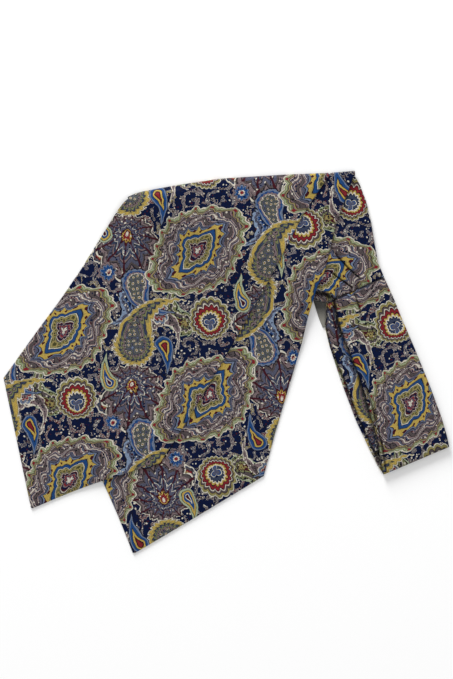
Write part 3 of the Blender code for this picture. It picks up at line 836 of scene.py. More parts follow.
def pleat_shell(print_turn, print_shift):
    """The pleat: from its own left edge to a tuck under the panel's."""
    lengths = np.linspace(PLEAT_START, PLEAT_END, PLEAT_ROWS)
    plan = band_plan("pleat", PLEAT_START, PLEAT_END, PLEAT_ROWS, 2)
    width = band_edges("panel", lengths) - band_edges("pleat", lengths) + PLEAT_TUCK
    across = plan[:, -1] - plan[:, 0]
    across *= (width / np.linalg.norm(across, axis=1))[:, None]
    shares = np.linspace(0.0, 1.0, PLEAT_COLUMNS)[None, :, None]
    plan = plan[:, :1] + across[:, None] * shares
    top = solid_top("band_pleat", plan, PLEAT_WALL, PLEAT_PASSES)
    wall = np.full(plan.shape[:2], PLEAT_WALL)
    from_left = np.linalg.norm(plan - plan[:, :1], axis=2)
    ledge = (width - PLEAT_TUCK)[:, None]
    near_top = smooth((LEDGE_SHADE["top_until"] - lengths) / LEDGE_SHADE["top_fade"])[:, None]
    reach = LEDGE_SHADE["width"] * (1.0 + LEDGE_SHADE["wider"] * near_top)
    depth = LEDGE_SHADE["depth"] + (1.0 - LEDGE_SHADE["depth"]) * near_top
    # Painted shade along the panel's edge and along the pleat's own left edge.
    by_ledge = depth * np.exp(-(np.minimum(from_left - ledge, 0.0) / reach) ** 2)
    by_edge = EDGE_SHADE * np.exp(-(from_left / PLEAT_EDGE_WIDTH) ** 2)
    pressed = np.maximum(by_ledge, by_edge)
    rings = flat_rings(plan, top, wall, pressed=pressed)
    return shell("band_pleat_silk", rings, PLEAT_COLUMNS, print_turn, print_shift)


band_pleat = pleat_shell(*PRINTS["band_pleat"])

# %% [markdown]
# In the crook the under half turns out and shows the silk's plain back, a small grey-olive patch. A
# table of four rows gives its tapering outline, and the fine rows are read from it.

# %% Turned-out lining
LINING_ROWS = [
    dict(y=48.0, left=69.6, right=79.8),
    dict(y=41.0, left=71.9, right=79.5),
    dict(y=34.0, left=74.4, right=79.1),
    dict(y=28.0, left=77.1, right=79.1),
]
LINING_COLUMNS = 13
LINING_FINE_ROWS = 25
LINING_TOP = [(69.6, 49.9), (75.0, 49.2), (79.8, 47.65)]

shares = np.linspace(0.0, 1.0, LINING_COLUMNS)
fine_y = np.linspace(LINING_ROWS[0]["y"], LINING_ROWS[-1]["y"], LINING_FINE_ROWS)
row_y = [row["y"] for row in LINING_ROWS][::-1]
fine_left = np.interp(fine_y, row_y, [row["left"] for row in LINING_ROWS][::-1])
fine_right = np.interp(fine_y, row_y, [row["right"] for row in LINING_ROWS][::-1])
top_x, top_y = np.array(LINING_TOP).T
slant = np.interp(fine_left[0] + (fine_right[0] - fine_left[0]) * shares, top_x, top_y) - fine_y[0]
slant = slant[None] * np.linspace(1.0, 0.0, LINING_FINE_ROWS)[:, None]
lining_plan = np.stack([
    fine_left[:, None] + (fine_right - fine_left)[:, None] * shares[None],
    fine_y[:, None] + slant], axis=2)
lining_height = np.full(lining_plan.shape[:2], LINING_WALL)
band_lining = shell("band_lining_cloth", flat_rings(lining_plan, lining_height, lining_height),
                    LINING_COLUMNS, *PRINTS["band_lining"])

# %% [markdown]
# The spread silk is sewn to the neckband by hand, with small running stitches that sink between the
# two edges. One stitch is a short arched curve with a round section. It is made a mesh, and each
# copy of it then gets its own mesh and its own place on the line.

# %% Seam stitches
STITCH_PITCH = 3.0
STITCH_LENGTH = 2.2
STITCH_ARCH = 0.12
THREAD_RADIUS = 0.19
THREAD_SINK = 0.5
HANDLE_SHARE = 0.3
PROBE_BELOW = 1.2
PLEATS_HIDE = (0.24, 0.50)


def seam_places():
    """Middles of the stitches on the seam's line, and the line's direction."""
    upper = stitch_line("panel", 0.0, SEAM_GAP / 2.0)
    run = upper[1] - upper[0]
    length = np.linalg.norm(run)
    count = int((length - STITCH_PITCH) / STITCH_PITCH)
    shares = (np.arange(count) + 1.0) * STITCH_PITCH / length
    shares = shares[(shares < PLEATS_HIDE[0]) | (shares > PLEATS_HIDE[1])]
    return [upper[0] + share * run for share in shares], run / length


def seam_top(tree, place):
    """Height of the band's top just below the seam, in mm."""
    below = place + from_axis((0.0, 0.0), BAND_HEADING, PROBE_BELOW, 0.0) - PLAN_CENTRE
    hit = tree.ray_cast(Vector((*(below * MM), RAY_START)), DOWN)[0]
    return hit.z / MM


# %% [markdown]
# The first stitch is Blender's own Bezier curve with two knots. It is arched a little, since thread
# bends as it comes up out of the cloth, and its ends are closed.

# %% One stitch
bpy.ops.object.select_all(action="DESELECT")
bpy.ops.curve.primitive_bezier_curve_add()
stitch = bpy.context.active_object
stitch.data.dimensions = "3D"
stitch.data.bevel_depth = THREAD_RADIUS * MM
stitch.data.bevel_resolution = 2
stitch.data.resolution_u = 8
stitch.data.use_fill_caps = True
handle = HANDLE_SHARE * STITCH_LENGTH * MM
dip = -STITCH_ARCH * MM
for knot, end in zip(stitch.data.splines[0].bezier_points, (-0.5, 0.5)):
    reach = STITCH_LENGTH * end * MM
    knot.co = (reach, 0.0, dip)
    knot.handle_left = (reach - handle, 0.0, dip * (1.0 - 4.0 * end))
    knot.handle_right = (reach + handle, 0.0, dip * (1.0 + 4.0 * end))
bpy.ops.object.convert(target="MESH")
print("stitch", STITCH_LENGTH, "mm long")

# %% [markdown]
# The stitches stand at an even pitch, with none where the pleats hide the seam. Each is sunk into the
# height of the band beside it, and all are joined into one piece, since they are one thread.

# %% Stitches along the seam
places, seam_run = seam_places()
band_tree = solid_tree("neck_band")
copies = []
for place in places:
    one = stitch.copy()
    one.data = stitch.data.copy()
    height = seam_top(band_tree, place) - THREAD_SINK
    one.location = (*(MM * (place - PLAN_CENTRE)), height * MM)
    one.rotation_euler = (0.0, 0.0, np.arctan2(seam_run[1], seam_run[0]))
    bpy.context.collection.objects.link(one)
    copies.append(one)
bpy.data.objects.remove(stitch)
bpy.ops.object.select_all(action="DESELECT")
for one in copies:
    one.select_set(True)
bpy.context.view_layer.objects.active = copies[0]
bpy.ops.object.join()
seam_stitches = bpy.context.active_object
seam_stitches.name = "seam_stitches"
bpy.ops.object.transform_apply(location=True, rotation=True, scale=True)
bpy.ops.object.shade_smooth()
seam_stitches.select_set(False)
print("stitches", len(copies), "faces", len(seam_stitches.data.polygons))

# %% [markdown]
# A material is written as sums on wires. A wire stands for one socket of a node; adding two wires
# adds a Math node, so a shape reads like the formula it is. Every other node comes from one method
# that takes its kind, its settings and its inputs.

# %% Wires
class Wire:
    """One output socket, with arithmetic that adds Math nodes."""

    def __init__(self, bench, socket):
        self.bench = bench
        self.socket = socket

    def __add__(self, other):
        return self.bench.math("ADD", self, other)

    def __radd__(self, other):
        return self.bench.math("ADD", other, self)

    def __sub__(self, other):
        return self.bench.math("SUBTRACT", self, other)

    def __rsub__(self, other):
        return self.bench.math("SUBTRACT", other, self)

    def __mul__(self, other):
        return self.bench.math("MULTIPLY", self, other)

    def __rmul__(self, other):
        return self.bench.math("MULTIPLY", other, self)

    def __truediv__(self, other):
        return self.bench.math("DIVIDE", self, other)

    def __pow__(self, other):
        return self.bench.math("POWER", self, other)

    def __lt__(self, other):
        return self.bench.math("LESS_THAN", self, other)

    def __gt__(self, other):
        return self.bench.math("GREATER_THAN", self, other)


# %% [markdown]
# A bench holds the node tree of one material while it is being made. Its short methods name the few
# nodes that this print uses again and again: humps, turned places, noise, cells of a Voronoi pattern,
# one ink over another, and flat bands of ink.

# %% Bench
class Bench:
    """The node tree of one material."""

    def __init__(self, name):
        self.material = bpy.data.materials.new(name)
        self.material.use_nodes = True
        self.tree = self.material.node_tree
        self.shader = self.tree.nodes["Principled BSDF"]

    def plug(self, socket, value):
        """A link from a wire, or a plain value on the socket itself."""
        if isinstance(value, Wire):
            self.tree.links.new(value.socket, socket)
        else:
            socket.default_value = value

    def node(self, kind, settings, inputs, output=0):
        """A node of that kind: its settings first, then its sockets. Gives one output or several."""
        made = self.tree.nodes.new(kind)
        for key, value in settings.items():
            if key == "stops":
                self.set_stops(made.color_ramp, value)
            else:
                setattr(made, key, value)
        for key, value in inputs.items():
            self.plug(made.inputs[key], value)
        if isinstance(output, tuple):
            return [Wire(self, made.outputs[key]) for key in output]
        return Wire(self, made.outputs[output])

    def set_stops(self, ramp, stops):
        """Flat bands of colour on a ramp."""
        ramp.interpolation = "CONSTANT"
        ramp.elements[0].position = stops[0][0]
        ramp.elements[0].color = stops[0][1]
        ramp.elements.remove(ramp.elements[1])
        for position, colour in stops[1:]:
            ramp.elements.new(position).color = colour

    def math(self, operation, *values):
        return self.node("ShaderNodeMath", {"operation": operation}, dict(enumerate(values)))

    def sine(self, value):
        return self.math("SINE", value)

    def ripple(self, value):
        """A row of even humps: the sine without its sign."""
        return self.math("ABSOLUTE", self.sine(value))

    def turn(self, vector, angle):
        """A vector turned about the vertical by an angle, which may change from place to place."""
        return self.node("ShaderNodeVectorRotate", {"rotation_type": "Z_AXIS"},
                         {"Vector": vector, "Angle": angle})

    def length(self, vector):
        return self.node("ShaderNodeVectorMath", {"operation": "LENGTH"}, {0: vector}, 1)

    def vector(self, x, y):
        return self.node("ShaderNodeCombineXYZ", {}, {"X": x, "Y": y})

    def parts(self, vector):
        return self.node("ShaderNodeSeparateXYZ", {}, {0: vector}, (0, 1))

    def scaled(self, vector, factor):
        return self.node("ShaderNodeVectorMath", {"operation": "SCALE"}, {0: vector, "Scale": factor})

    def noise(self, point, scale, detail, output=0):
        return self.node("ShaderNodeTexNoise", {"noise_dimensions": "2D"},
                         {"Vector": point, "Scale": scale, "Detail": detail}, output)

    def voronoi(self, point, size, randomness=1.0, output=0):
        """Cells of about that size, each round its own seed."""
        return self.node("ShaderNodeTexVoronoi", {"voronoi_dimensions": "2D"},
                         {"Vector": point, "Scale": 1.0 / size, "Randomness": randomness}, output)

    def paint(self, mask, under, over):
        """One colour over another where the mask is 1."""
        return self.node("ShaderNodeMix", {"data_type": "RGBA"},
                         {"Factor": mask, 6: under, 7: over}, 2)

    def done(self):
        """The finished material, with a word on its size."""
        print(self.material.name, "nodes", len(self.tree.nodes))
        return self.material

    def ramp(self, value, low, high, stops):
        """Colours by bands of a value: each stop names the value where its ink starts."""
        share = self.node("ShaderNodeMapRange", {},
                          {"Value": value, "From Min": low, "From Max": high})
        span = high - low
        placed = [((start - low) / span, INKS[ink]) for start, ink in stops]
        return self.node("ShaderNodeValToRGB", {"stops": placed}, {"Fac": share})


# %% [markdown]
# The silk is printed in few inks: a navy ground, golden yellow, two blues, a red and a maroon, and a
# family of greys between taupe and lavender that carries most of the drawing. Each is named once.

# %% Inks
def ink(red, green, blue):
    """A colour from its everyday 0 to 255 values, by the screen's own curve."""
    linear = [((value / 255.0 + 0.055) / 1.055) ** 2.4 for value in (red, green, blue)]
    return (*linear, 1.0)


INKS = dict(
    navy=ink(0, 16, 50),
    gold=ink(172, 147, 74),
    straw=ink(138, 126, 78),
    blue=ink(28, 64, 114),
    sky=ink(100, 112, 134),
    pale=ink(118, 134, 158),
    red=ink(116, 32, 38),
    brick=ink(112, 58, 60),
    maroon=ink(58, 18, 28),
    olive=ink(66, 64, 38),
    leaf=ink(112, 114, 78),
    mint=ink(150, 160, 134),
    taupe=ink(76, 68, 69),
    rose=ink(114, 99, 101),
    lavender=ink(76, 78, 96),
    slate=ink(50, 58, 78),
    cream=ink(194, 188, 174),
    umber=ink(18, 17, 28),
)
print("inks", len(INKS))

# %% [markdown]
# The print repeats as a half drop: each column of the repeat starts half a repeat lower than the one
# before, which hides the rows. A motif is drawn round its own centre. The cloth's coordinates are
# folded so that the nearest copy of that centre is at nought, and one drawing then fills the cloth.

# %% Half-drop repeat
REPEAT_WIDTH = 109.0
REPEAT_HEIGHT = 120.0
MEDALLION_CENTRE = (-18.0, 92.0)


def near(bench, cloth, centre):
    """Place relative to the nearest copy of a motif's centre, in mm."""
    x, y = cloth
    dx = x - (MEDALLION_CENTRE[0] + centre[0])
    column = bench.math("ROUND", dx / REPEAT_WIDTH)
    across = dx - column * REPEAT_WIDTH
    drop = (y - (MEDALLION_CENTRE[1] + centre[1])) - column * (REPEAT_HEIGHT / 2.0)
    along = bench.math("WRAP", drop, REPEAT_HEIGHT / 2.0, -REPEAT_HEIGHT / 2.0)
    return across, along


# %% [markdown]
# The medallion is the print's largest motif, an ogee with a rosette in a pointed lozenge. Drawing it
# on a picture would be the plain way, but a formula stays sharp at any distance: one distance from
# its middle is cut into bands of ink, and humps of sine along the angle give petals, thorns and
# scallops. A little swirl keeps it from looking ruled.

# %% Medallion
MEDALLION_HALF = (32.0, 46.0)
MEDALLION_LEAN = radians(28.0)
MEDALLION_SWIRL = 0.011
MEDALLION_POINT = 1.45
LOZENGE = (1.04, 0.84)
PETALS = dict(count=6.0, depth=0.045)
THORNS = dict(count=7.0, start=0.5, power=1.6, depth=0.10)
HOOKS = dict(count=4.0, start=0.6, core=0.02, rim=0.03)
DRIFT = dict(count=3.0, start=2.0, depth=0.03)
BENDS = dict(count=8.0, rings=9.0)
CURLS = dict(rings=30.0, bend=1.9, lean=2.0)
POINTS = dict(count=9.0, power=1.2, depth=0.10)
SCALLOPS = dict(count=27.0, depth=0.026)
DOTS = dict(count=22.0, place=0.515, sharp=26.0, least=0.1)
PETAL_INK = dict(place=0.265, reach=0.048, widest=0.86)
HEART_INK = dict(place=0.26, reach=0.024, widest=0.5)
BEAD_INK = dict(place=0.925, reach=0.026, least=0.66)
CORE_EDGE = 0.46
RIM_EDGE = 0.69
OUTER_EDGE = 0.85
CORE_STOPS = [
    (0.00, "cream"), (0.03, "slate"), (0.06, "red"), (0.09, "rose"), (0.115, "navy"),
    (0.14, "maroon"), (0.17, "cream"), (0.185, "taupe"), (0.21, "leaf"), (0.24, "umber"),
    (0.26, "straw"), (0.285, "umber"), (0.30, "leaf"), (0.325, "cream"), (0.34, "umber"),
    (0.352, "blue"), (0.415, "umber"), (0.43, "straw"), (0.45, "gold"),
]
RIM_STOPS = [
    (0.45, "gold"), (0.575, "umber"), (0.59, "sky"), (0.625, "umber"), (0.645, "lavender"),
]
OUTER_STOPS = [
    (0.85, "umber"), (0.862, "straw"), (0.882, "rose"), (0.895, "umber"), (0.905, "leaf"),
    (0.935, "mint"), (0.955, "leaf"), (0.975, "cream"),
]
SCROLL_BAND_STOPS = [
    (-1.0, "taupe"), (-0.82, "umber"), (-0.66, "rose"), (-0.24, "brick"), (-0.06, "cream"),
    (0.12, "lavender"), (0.55, "umber"), (0.70, "rose"), (0.97, "cream"),
]


# %% [markdown]
# The drawing goes outwards: the core and its rim, a belt of scrolls, then the scalloped outer bands.
# The small inks of dots, petals, heart and beads come last, each over what lies there already.

# %% Drawing of the medallion
def medallion(bench, cloth, under, masks):
    """An ogee medallion: bands round a rosette, each with its own scallops."""
    x, y = near(bench, cloth, (0.0, 0.0))
    place = bench.turn(bench.vector(x, y), MEDALLION_LEAN)
    place = bench.turn(place, bench.length(place) * MEDALLION_SWIRL)
    x, y = bench.parts(place)
    angle = bench.math("ARCTAN2", y, x)
    wide = bench.math("ABSOLUTE", x / MEDALLION_HALF[0])
    tall = bench.math("ABSOLUTE", y / MEDALLION_HALF[1])
    reach = (wide ** MEDALLION_POINT + tall ** MEDALLION_POINT) ** (1.0 / MEDALLION_POINT)
    lozenge = wide * LOZENGE[0] + tall * LOZENGE[1]
    petals = bench.ripple(angle * PETALS["count"])
    lobes = bench.ripple(angle * POINTS["count"])
    thorns = (1.0 - bench.ripple(angle * THORNS["count"] + THORNS["start"])) ** THORNS["power"]
    hooks = bench.sine(angle * HOOKS["count"] + HOOKS["start"])
    drift = bench.sine(angle * DRIFT["count"] + DRIFT["start"]) * DRIFT["depth"]
    core = lozenge - petals * PETALS["depth"] + hooks * HOOKS["core"] + drift
    rim = lozenge - thorns * THORNS["depth"] + hooks * HOOKS["rim"] + drift + DRIFT["depth"]
    colour = bench.paint(core > CORE_EDGE, bench.ramp(core, 0.0, 0.5, CORE_STOPS),
                         bench.ramp(rim, 0.45, 1.0, RIM_STOPS))
    bends = bench.sine(angle * BENDS["count"] + reach * BENDS["rings"])
    curls = bench.sine(reach * CURLS["rings"] + bends * CURLS["bend"] + angle * CURLS["lean"])
    scrolls = dabbed(bench, bench.ramp(curls, -1.0, 1.0, SCROLL_BAND_STOPS), masks)
    colour = bench.paint(rim > RIM_EDGE, colour, scrolls)
    points = (1.0 - lobes) ** POINTS["power"]
    scallops = bench.ripple(angle * SCALLOPS["count"])
    outer = reach - points * POINTS["depth"] - scallops * SCALLOPS["depth"]
    colour = bench.paint(outer > OUTER_EDGE, colour,
                         bench.ramp(outer, OUTER_EDGE, 1.0, OUTER_STOPS))
    turned = bench.sine(angle * DOTS["count"])
    dots = bench.math("ABSOLUTE", core - DOTS["place"]) * DOTS["sharp"] < turned - DOTS["least"]
    colour = bench.paint(dots, colour, INKS["maroon"])
    petal = bench.math("COMPARE", core, PETAL_INK["place"], PETAL_INK["reach"])
    colour = bench.paint(petal * (petals < PETAL_INK["widest"]), colour, INKS["straw"])
    heart = bench.math("COMPARE", core, HEART_INK["place"], HEART_INK["reach"])
    colour = bench.paint(heart * (petals < HEART_INK["widest"]), colour, INKS["olive"])
    beads = bench.math("COMPARE", outer, BEAD_INK["place"], BEAD_INK["reach"])
    colour = bench.paint(beads * (points > BEAD_INK["least"]), colour, INKS["red"])
    return bench.paint(outer < 1.0, under, colour)


# %% [markdown]
# The paisley leaf is a drop whose point curls over, the oldest motif of such prints. It is a round
# cone in plan: a distance from its outline that is even all round, so that its bands run parallel to
# the edge. Turning the place more, the farther it is from the middle, bends the point over.

# %% Paisley leaf
def paisley(bench, cloth, under, leaf, florets):
    """A drop whose point curls over: bands follow its outline, which may be scalloped."""
    x, y = near(bench, cloth, leaf["centre"])
    place = bench.turn(bench.vector(x, y), radians(leaf["lean"]))
    reach = bench.length(place)
    place = bench.turn(place, reach * (leaf["curl"] / leaf["long"]))
    x, y = bench.parts(place)
    x = bench.math("ABSOLUTE", x)
    narrowing = leaf["round"] / leaf["long"]
    beside = (1.0 - narrowing ** 2) ** 0.5
    side = bench.math("MULTIPLY_ADD", x, beside, y * narrowing)
    inside = y * beside < x * narrowing
    depth = bench.node("ShaderNodeMix", {}, {"Factor": inside, "A": side, "B": reach})
    if leaf["scallop"]:
        phase = bench.math("ARCTAN2", x, y) * leaf["lobes"] + reach * leaf["step"]
        depth = depth - bench.ripple(phase) * leaf["scallop"]
    colour = bench.ramp(depth, 0.0, leaf["round"], leaf["stops"])
    if leaf["florets"]:
        colour = bench.paint(depth < leaf["florets"], colour, florets)
    return bench.paint(depth < leaf["round"], under, colour)


# %% [markdown]
# A round flower is made the same way, from rings round its middle that swell with each petal. Its
# middle may sit off centre, as if the flower were seen aslant. A heart of three lobes and dark veins
# between the petals are added where the table asks for them.

# %% Round flower
FULLEST = 0.8
THREE_LOBES = dict(count=1.5, start=0.8, depth=3.6)
HEART_RINGS = [("cream", 3.7), ("blue", 4.3), ("lavender", 5.5)]
VEIN_EDGE = 0.975


def flower(bench, cloth, under, bloom):
    """A round flower: rings round its middle, with petals and perhaps a heart and veins."""
    x, y = near(bench, cloth, bloom["centre"])
    angle = bench.math("ARCTAN2", y, x)
    reach = bench.length(bench.vector(x, y))
    petals = bench.ripple(angle * (bloom["petals"] / 2.0))
    lobes = petals * bench.math("MINIMUM", reach / bloom["radius"], FULLEST)
    depth = reach - lobes * bloom["scallop"] + y * bloom["tilt"]
    colour = bench.ramp(depth, 0.0, bloom["radius"], bloom["stops"])
    if bloom["heart"]:
        three = bench.ripple(angle * THREE_LOBES["count"] + THREE_LOBES["start"])
        lobe = reach - three * THREE_LOBES["depth"]
        for name, inset in HEART_RINGS:
            colour = bench.paint(lobe < bloom["heart"] - inset, colour, INKS[name])
    if bloom["veins"]:
        veins = (petals > VEIN_EDGE) * (reach > bloom["veins"])
        colour = bench.paint(veins, colour, INKS["maroon"])
    return bench.paint(depth < bloom["radius"], under, colour)


# %% [markdown]
# Between the motifs lies navy silk with feathery scrolls. The scrolls come from a Voronoi pattern,
# which strews seeds over the cloth: round each seed a sine of the angle and the distance winds into a
# curl, and a finer pattern frays its edge. Each cell draws a chance of its own, which turns the curl
# and picks its tint, so that no two are the same. Small sprigs stand in what stays navy.

# %% Ground and its scrolls
SCROLL_CELL = 16.0
SCROLL_RANDOMNESS = 0.85
FEATHER_CELL = 3.0
FULL_TURN = 6.28
WINDING = 0.8
WAVE = dict(curl=0.66, feather=0.85, chance=0.15, lift=0.36)
NAVY_UNDER = 0.22
SCROLL_STOPS = [
    (-1.0, "navy"), (0.33, "cream"), (0.37, "rose"), (0.45, "umber"), (0.48, "rose"),
    (0.54, "taupe"), (0.60, "umber"), (0.64, "cream"), (0.68, "lavender"), (0.77, "umber"),
    (0.82, "rose"), (0.90, "maroon"),
]
SCROLL_TINTS = [
    (0.0, "brick"), (0.22, "taupe"), (0.40, "lavender"), (0.56, "straw"), (0.66, "brick"),
    (0.80, "rose"), (0.90, "slate"),
]
TINTED = dict(place=0.535, reach=0.055)
SPRIG_CELL = 10.5
SPRIG_RANDOMNESS = 0.8
SPRIG_PETALS = dict(count=2.5, least=0.9)
SPRIG_RINGS = dict(cream=0.1, rose=0.8, edge=1.05)


# %% [markdown]
# Each curl and each sprig is drawn round its nearest seed, from the angle and the distance there. The
# chances come from the colour that the Voronoi node gives each cell, so every render is the same.

# %% Drawing of the ground
def cells(bench, point, size, randomness):
    """The nearest seed of a Voronoi pattern: the angle and distance from it and its two chances."""
    shade, middle = bench.voronoi(point, size, randomness, ("Color", "Position"))
    chance, other = bench.parts(shade)
    offset = bench.node("ShaderNodeVectorMath", {"operation": "SUBTRACT"}, {0: point, 1: middle})
    x, y = bench.parts(offset)
    return bench.math("ARCTAN2", y, x), bench.length(offset), chance, other


def sprigs(bench, under, point, where):
    """Small five-petalled sprigs in rose and maroon, strewn over part of the ground."""
    angle, reach, chance, other = cells(bench, point, SPRIG_CELL, SPRIG_RANDOMNESS)
    petals = bench.ripple(angle * SPRIG_PETALS["count"] + chance * FULL_TURN)
    depth = reach - petals * (other + SPRIG_PETALS["least"])
    colour = bench.paint(depth < SPRIG_RINGS["cream"], INKS["cream"], INKS["maroon"])
    colour = bench.paint((depth > SPRIG_RINGS["cream"]) * (depth < SPRIG_RINGS["rose"]), colour,
                         INKS["rose"])
    return bench.paint((depth < SPRIG_RINGS["edge"]) * where, under, colour)


def scroll_ground(bench, point):
    """Navy ground with feathery scrolls: each cell of a Voronoi pattern holds one curl."""
    angle, reach, chance, other = cells(bench, point, SCROLL_CELL, SCROLL_RANDOMNESS)
    feather = bench.voronoi(point, FEATHER_CELL)
    curl = bench.sine(angle + reach * WINDING + chance * FULL_TURN)
    wave = curl * WAVE["curl"] - feather * WAVE["feather"] - other * WAVE["chance"] + WAVE["lift"]
    colour = bench.ramp(wave, -1.0, 1.0, SCROLL_STOPS)
    tint = bench.ramp(chance, 0.0, 1.0, SCROLL_TINTS)
    colour = bench.paint(bench.math("COMPARE", wave, TINTED["place"], TINTED["reach"]), colour, tint)
    return sprigs(bench, colour, point, wave < NAVY_UNDER)


# %% [markdown]
# The finest part of such a print is small dabs of ink, dropped into every grey field. They are the
# middles of some cells of a last Voronoi pattern, and each ink takes its own part of the chances.

# %% Dabs
DAB_CELL = 2.2
DAB_SIZE = dict(least=0.16, spread=0.2)
DABS = [("umber", 0.14, 0.13), ("maroon", 0.32, 0.03), ("navy", 0.42, 0.04), ("cream", 0.93, 0.06)]


def dab_masks(bench, point):
    """Where each ink has its small spots, about a millimetre wide."""
    distance, shade = bench.voronoi(point, DAB_CELL, 1.0, ("Distance", "Color"))
    chance, other = bench.parts(shade)
    spot = distance < other * DAB_SIZE["spread"] + DAB_SIZE["least"]
    return [(name, bench.math("COMPARE", chance, place, share) * spot)
            for name, place, share in DABS]


def dabbed(bench, colour, masks):
    """A colour with the dabs over it."""
    for name, mask in masks:
        colour = bench.paint(mask, colour, INKS[name])
    return colour


# %% [markdown]
# The smaller motifs are rows of two tables, one of flowers and one of leaves, in the order in which
# they are printed. Places are measured from the medallion's centre. The larger leaves are filled with
# tiny florets, which are the rings of one more, more regular, Voronoi pattern.

# %% Florets inside the leaves
FLORET_CELL = 4.2
FLORET_RANDOMNESS = 0.5
FLORET_STOPS = [
    (0.0, "gold"), (0.10, "maroon"), (0.17, "cream"), (0.25, "umber"), (0.32, "slate"),
    (0.42, "leaf"), (0.48, "umber"), (0.52, "lavender"), (0.64, "umber"), (0.70, "sky"),
]

# %% Smaller motifs
FLOWER_COLUMNS = ("centre", "radius", "petals", "scallop", "tilt", "veins", "heart", "stops")
FLOWERS = dict(
    fan=((-56.0, 16.0), 20.0, 13, 4.4, 0.42, 5.0, 0.0, [
        (0.0, "cream"), (1.0, "red"), (2.2, "gold"), (2.9, "maroon"), (4.0, "lavender"),
        (6.6, "cream"), (7.1, "slate"), (9.4, "rose"), (10.4, "umber"), (11.0, "lavender"),
        (13.2, "taupe"), (14.4, "umber"), (15.0, "rose"), (17.0, "taupe"), (18.4, "umber"),
        (19.0, "cream")]),
    small=((-33.0, -47.0), 7.4, 12, 1.6, 0.25, 0.0, 0.0, [
        (0.0, "gold"), (1.0, "maroon"), (2.2, "rose"), (3.6, "red"), (4.6, "cream"),
        (5.0, "umber"), (5.4, "sky"), (6.6, "cream")]),
    blue=((37.0, 45.0), 6.6, 10, 1.9, 0.0, 0.0, 0.0, [
        (0.0, "red"), (1.2, "cream"), (1.9, "blue"), (3.8, "sky"), (4.6, "umber"),
        (5.0, "rose")]),
    red=((8.0, 61.0), 14.5, 19, 2.0, -0.27, 0.0, 5.6, [
        (0.0, "navy"), (3.0, "slate"), (4.9, "navy"), (5.5, "cream"), (6.4, "gold"),
        (7.4, "umber"), (7.9, "red"), (9.5, "maroon"), (10.2, "cream"), (10.8, "taupe"),
        (12.0, "umber"), (12.4, "straw"), (13.3, "leaf"), (13.9, "cream")]),
)
LEAF_COLUMNS = ("centre", "lean", "curl", "round", "long", "scallop", "lobes", "step", "florets",
                "stops")
LEAVES = dict(
    sky=((52.0, 24.0), 140.0, 1.8, 7.6, 34.0, 1.1, 5.0, 0.7, 0.0, [
        (0.0, "navy"), (1.0, "blue"), (2.0, "sky"), (3.0, "umber"), (3.5, "lavender"),
        (5.0, "pale"), (6.8, "umber")]),
    green=((-12.0, 62.0), -84.0, 1.7, 9.0, 42.0, 1.4, 5.0, 0.55, 0.0, [
        (0.0, "straw"), (1.0, "maroon"), (2.0, "leaf"), (3.4, "umber"), (3.9, "taupe"),
        (5.4, "cream"), (5.9, "leaf"), (7.6, "umber"), (8.2, "mint")]),
    rose=((-38.0, 66.0), 40.0, 2.0, 7.6, 34.0, 1.2, 5.0, 0.7, 0.0, [
        (0.0, "maroon"), (1.0, "rose"), (2.6, "umber"), (3.1, "taupe"), (4.8, "rose"),
        (6.6, "cream")]),
    red=((33.0, 60.0), 74.0, 1.2, 8.4, 32.0, 0.9, 5.0, 0.6, 0.0, [
        (0.0, "cream"), (0.8, "maroon"), (2.0, "straw"), (3.2, "red"), (4.4, "umber"),
        (4.9, "taupe"), (6.2, "slate"), (7.2, "cream")]),
    blue=((-50.0, -24.0), 196.0, -1.2, 11.5, 40.0, 0.8, 7.0, 0.7, 6.4, [
        (0.0, "maroon"), (6.4, "cream"), (6.9, "rose"), (8.2, "blue"), (9.4, "sky"),
        (10.7, "umber")]),
    gold=((56.0, -14.0), -18.0, 1.15, 15.5, 52.0, 1.8, 11.0, 0.85, 6.4, [
        (0.0, "olive"), (5.4, "gold"), (6.4, "umber"), (7.0, "rose"), (8.2, "umber"),
        (8.6, "leaf"), (9.8, "slate"), (11.0, "umber"), (11.5, "straw"), (12.7, "gold"),
        (14.0, "straw"), (14.8, "cream")]),
    drop=((-30.0, 46.0), 150.0, 0.5, 7.0, 27.0, 0.0, 0.0, 0.0, 0.0, [
        (0.0, "red"), (1.5, "maroon"), (2.4, "gold"), (3.6, "umber"), (4.0, "blue"),
        (5.6, "sky"), (6.5, "umber")]),
    low_drop=((35.0, -44.0), -30.0, 0.5, 6.4, 25.0, 0.0, 0.0, 0.0, 0.0, [
        (0.0, "maroon"), (1.3, "cream"), (1.9, "blue"), (3.3, "gold"), (4.6, "umber"),
        (5.0, "mint")]),
)
flowers = {name: dict(zip(FLOWER_COLUMNS, row)) for name, row in FLOWERS.items()}
leaves = {name: dict(zip(LEAF_COLUMNS, row)) for name, row in LEAVES.items()}
print("flowers", len(flowers), "leaves", len(leaves))

# %% [markdown]
# The finished silk is that print under a fine twill: slanting ribs half a millimetre apart, seen
# only close up, and a soft sheen that silk has when light falls along it. The ink lies a little
# uneven, as screen printing on silk does.

# %% Twill
TWILL_PITCH = 0.55
TWILL_DEPTH = 0.00002
TWILL_STRENGTH = 0.5
INK_WANDER = dict(scale=0.10, detail=2.0, reach=3.6)
SILK_SHADE = dict(scale=1.4, detail=3.0, strength=1.5, lift=0.14)
SILK_ROUGHNESS = dict(least=0.5, spread=0.12)
SILK_SPECULAR = 0.06
SILK_SHEEN = dict(weight=0.01, roughness=0.35)
PAINTED_CREASE_SHADE = 0.88


def cloth_point(bench):
    """The place on the flat cloth, in mm."""
    cloth = bench.node("ShaderNodeUVMap", {"uv_map": "print"}, {})
    return bench.scaled(cloth, 1.0 / MM)


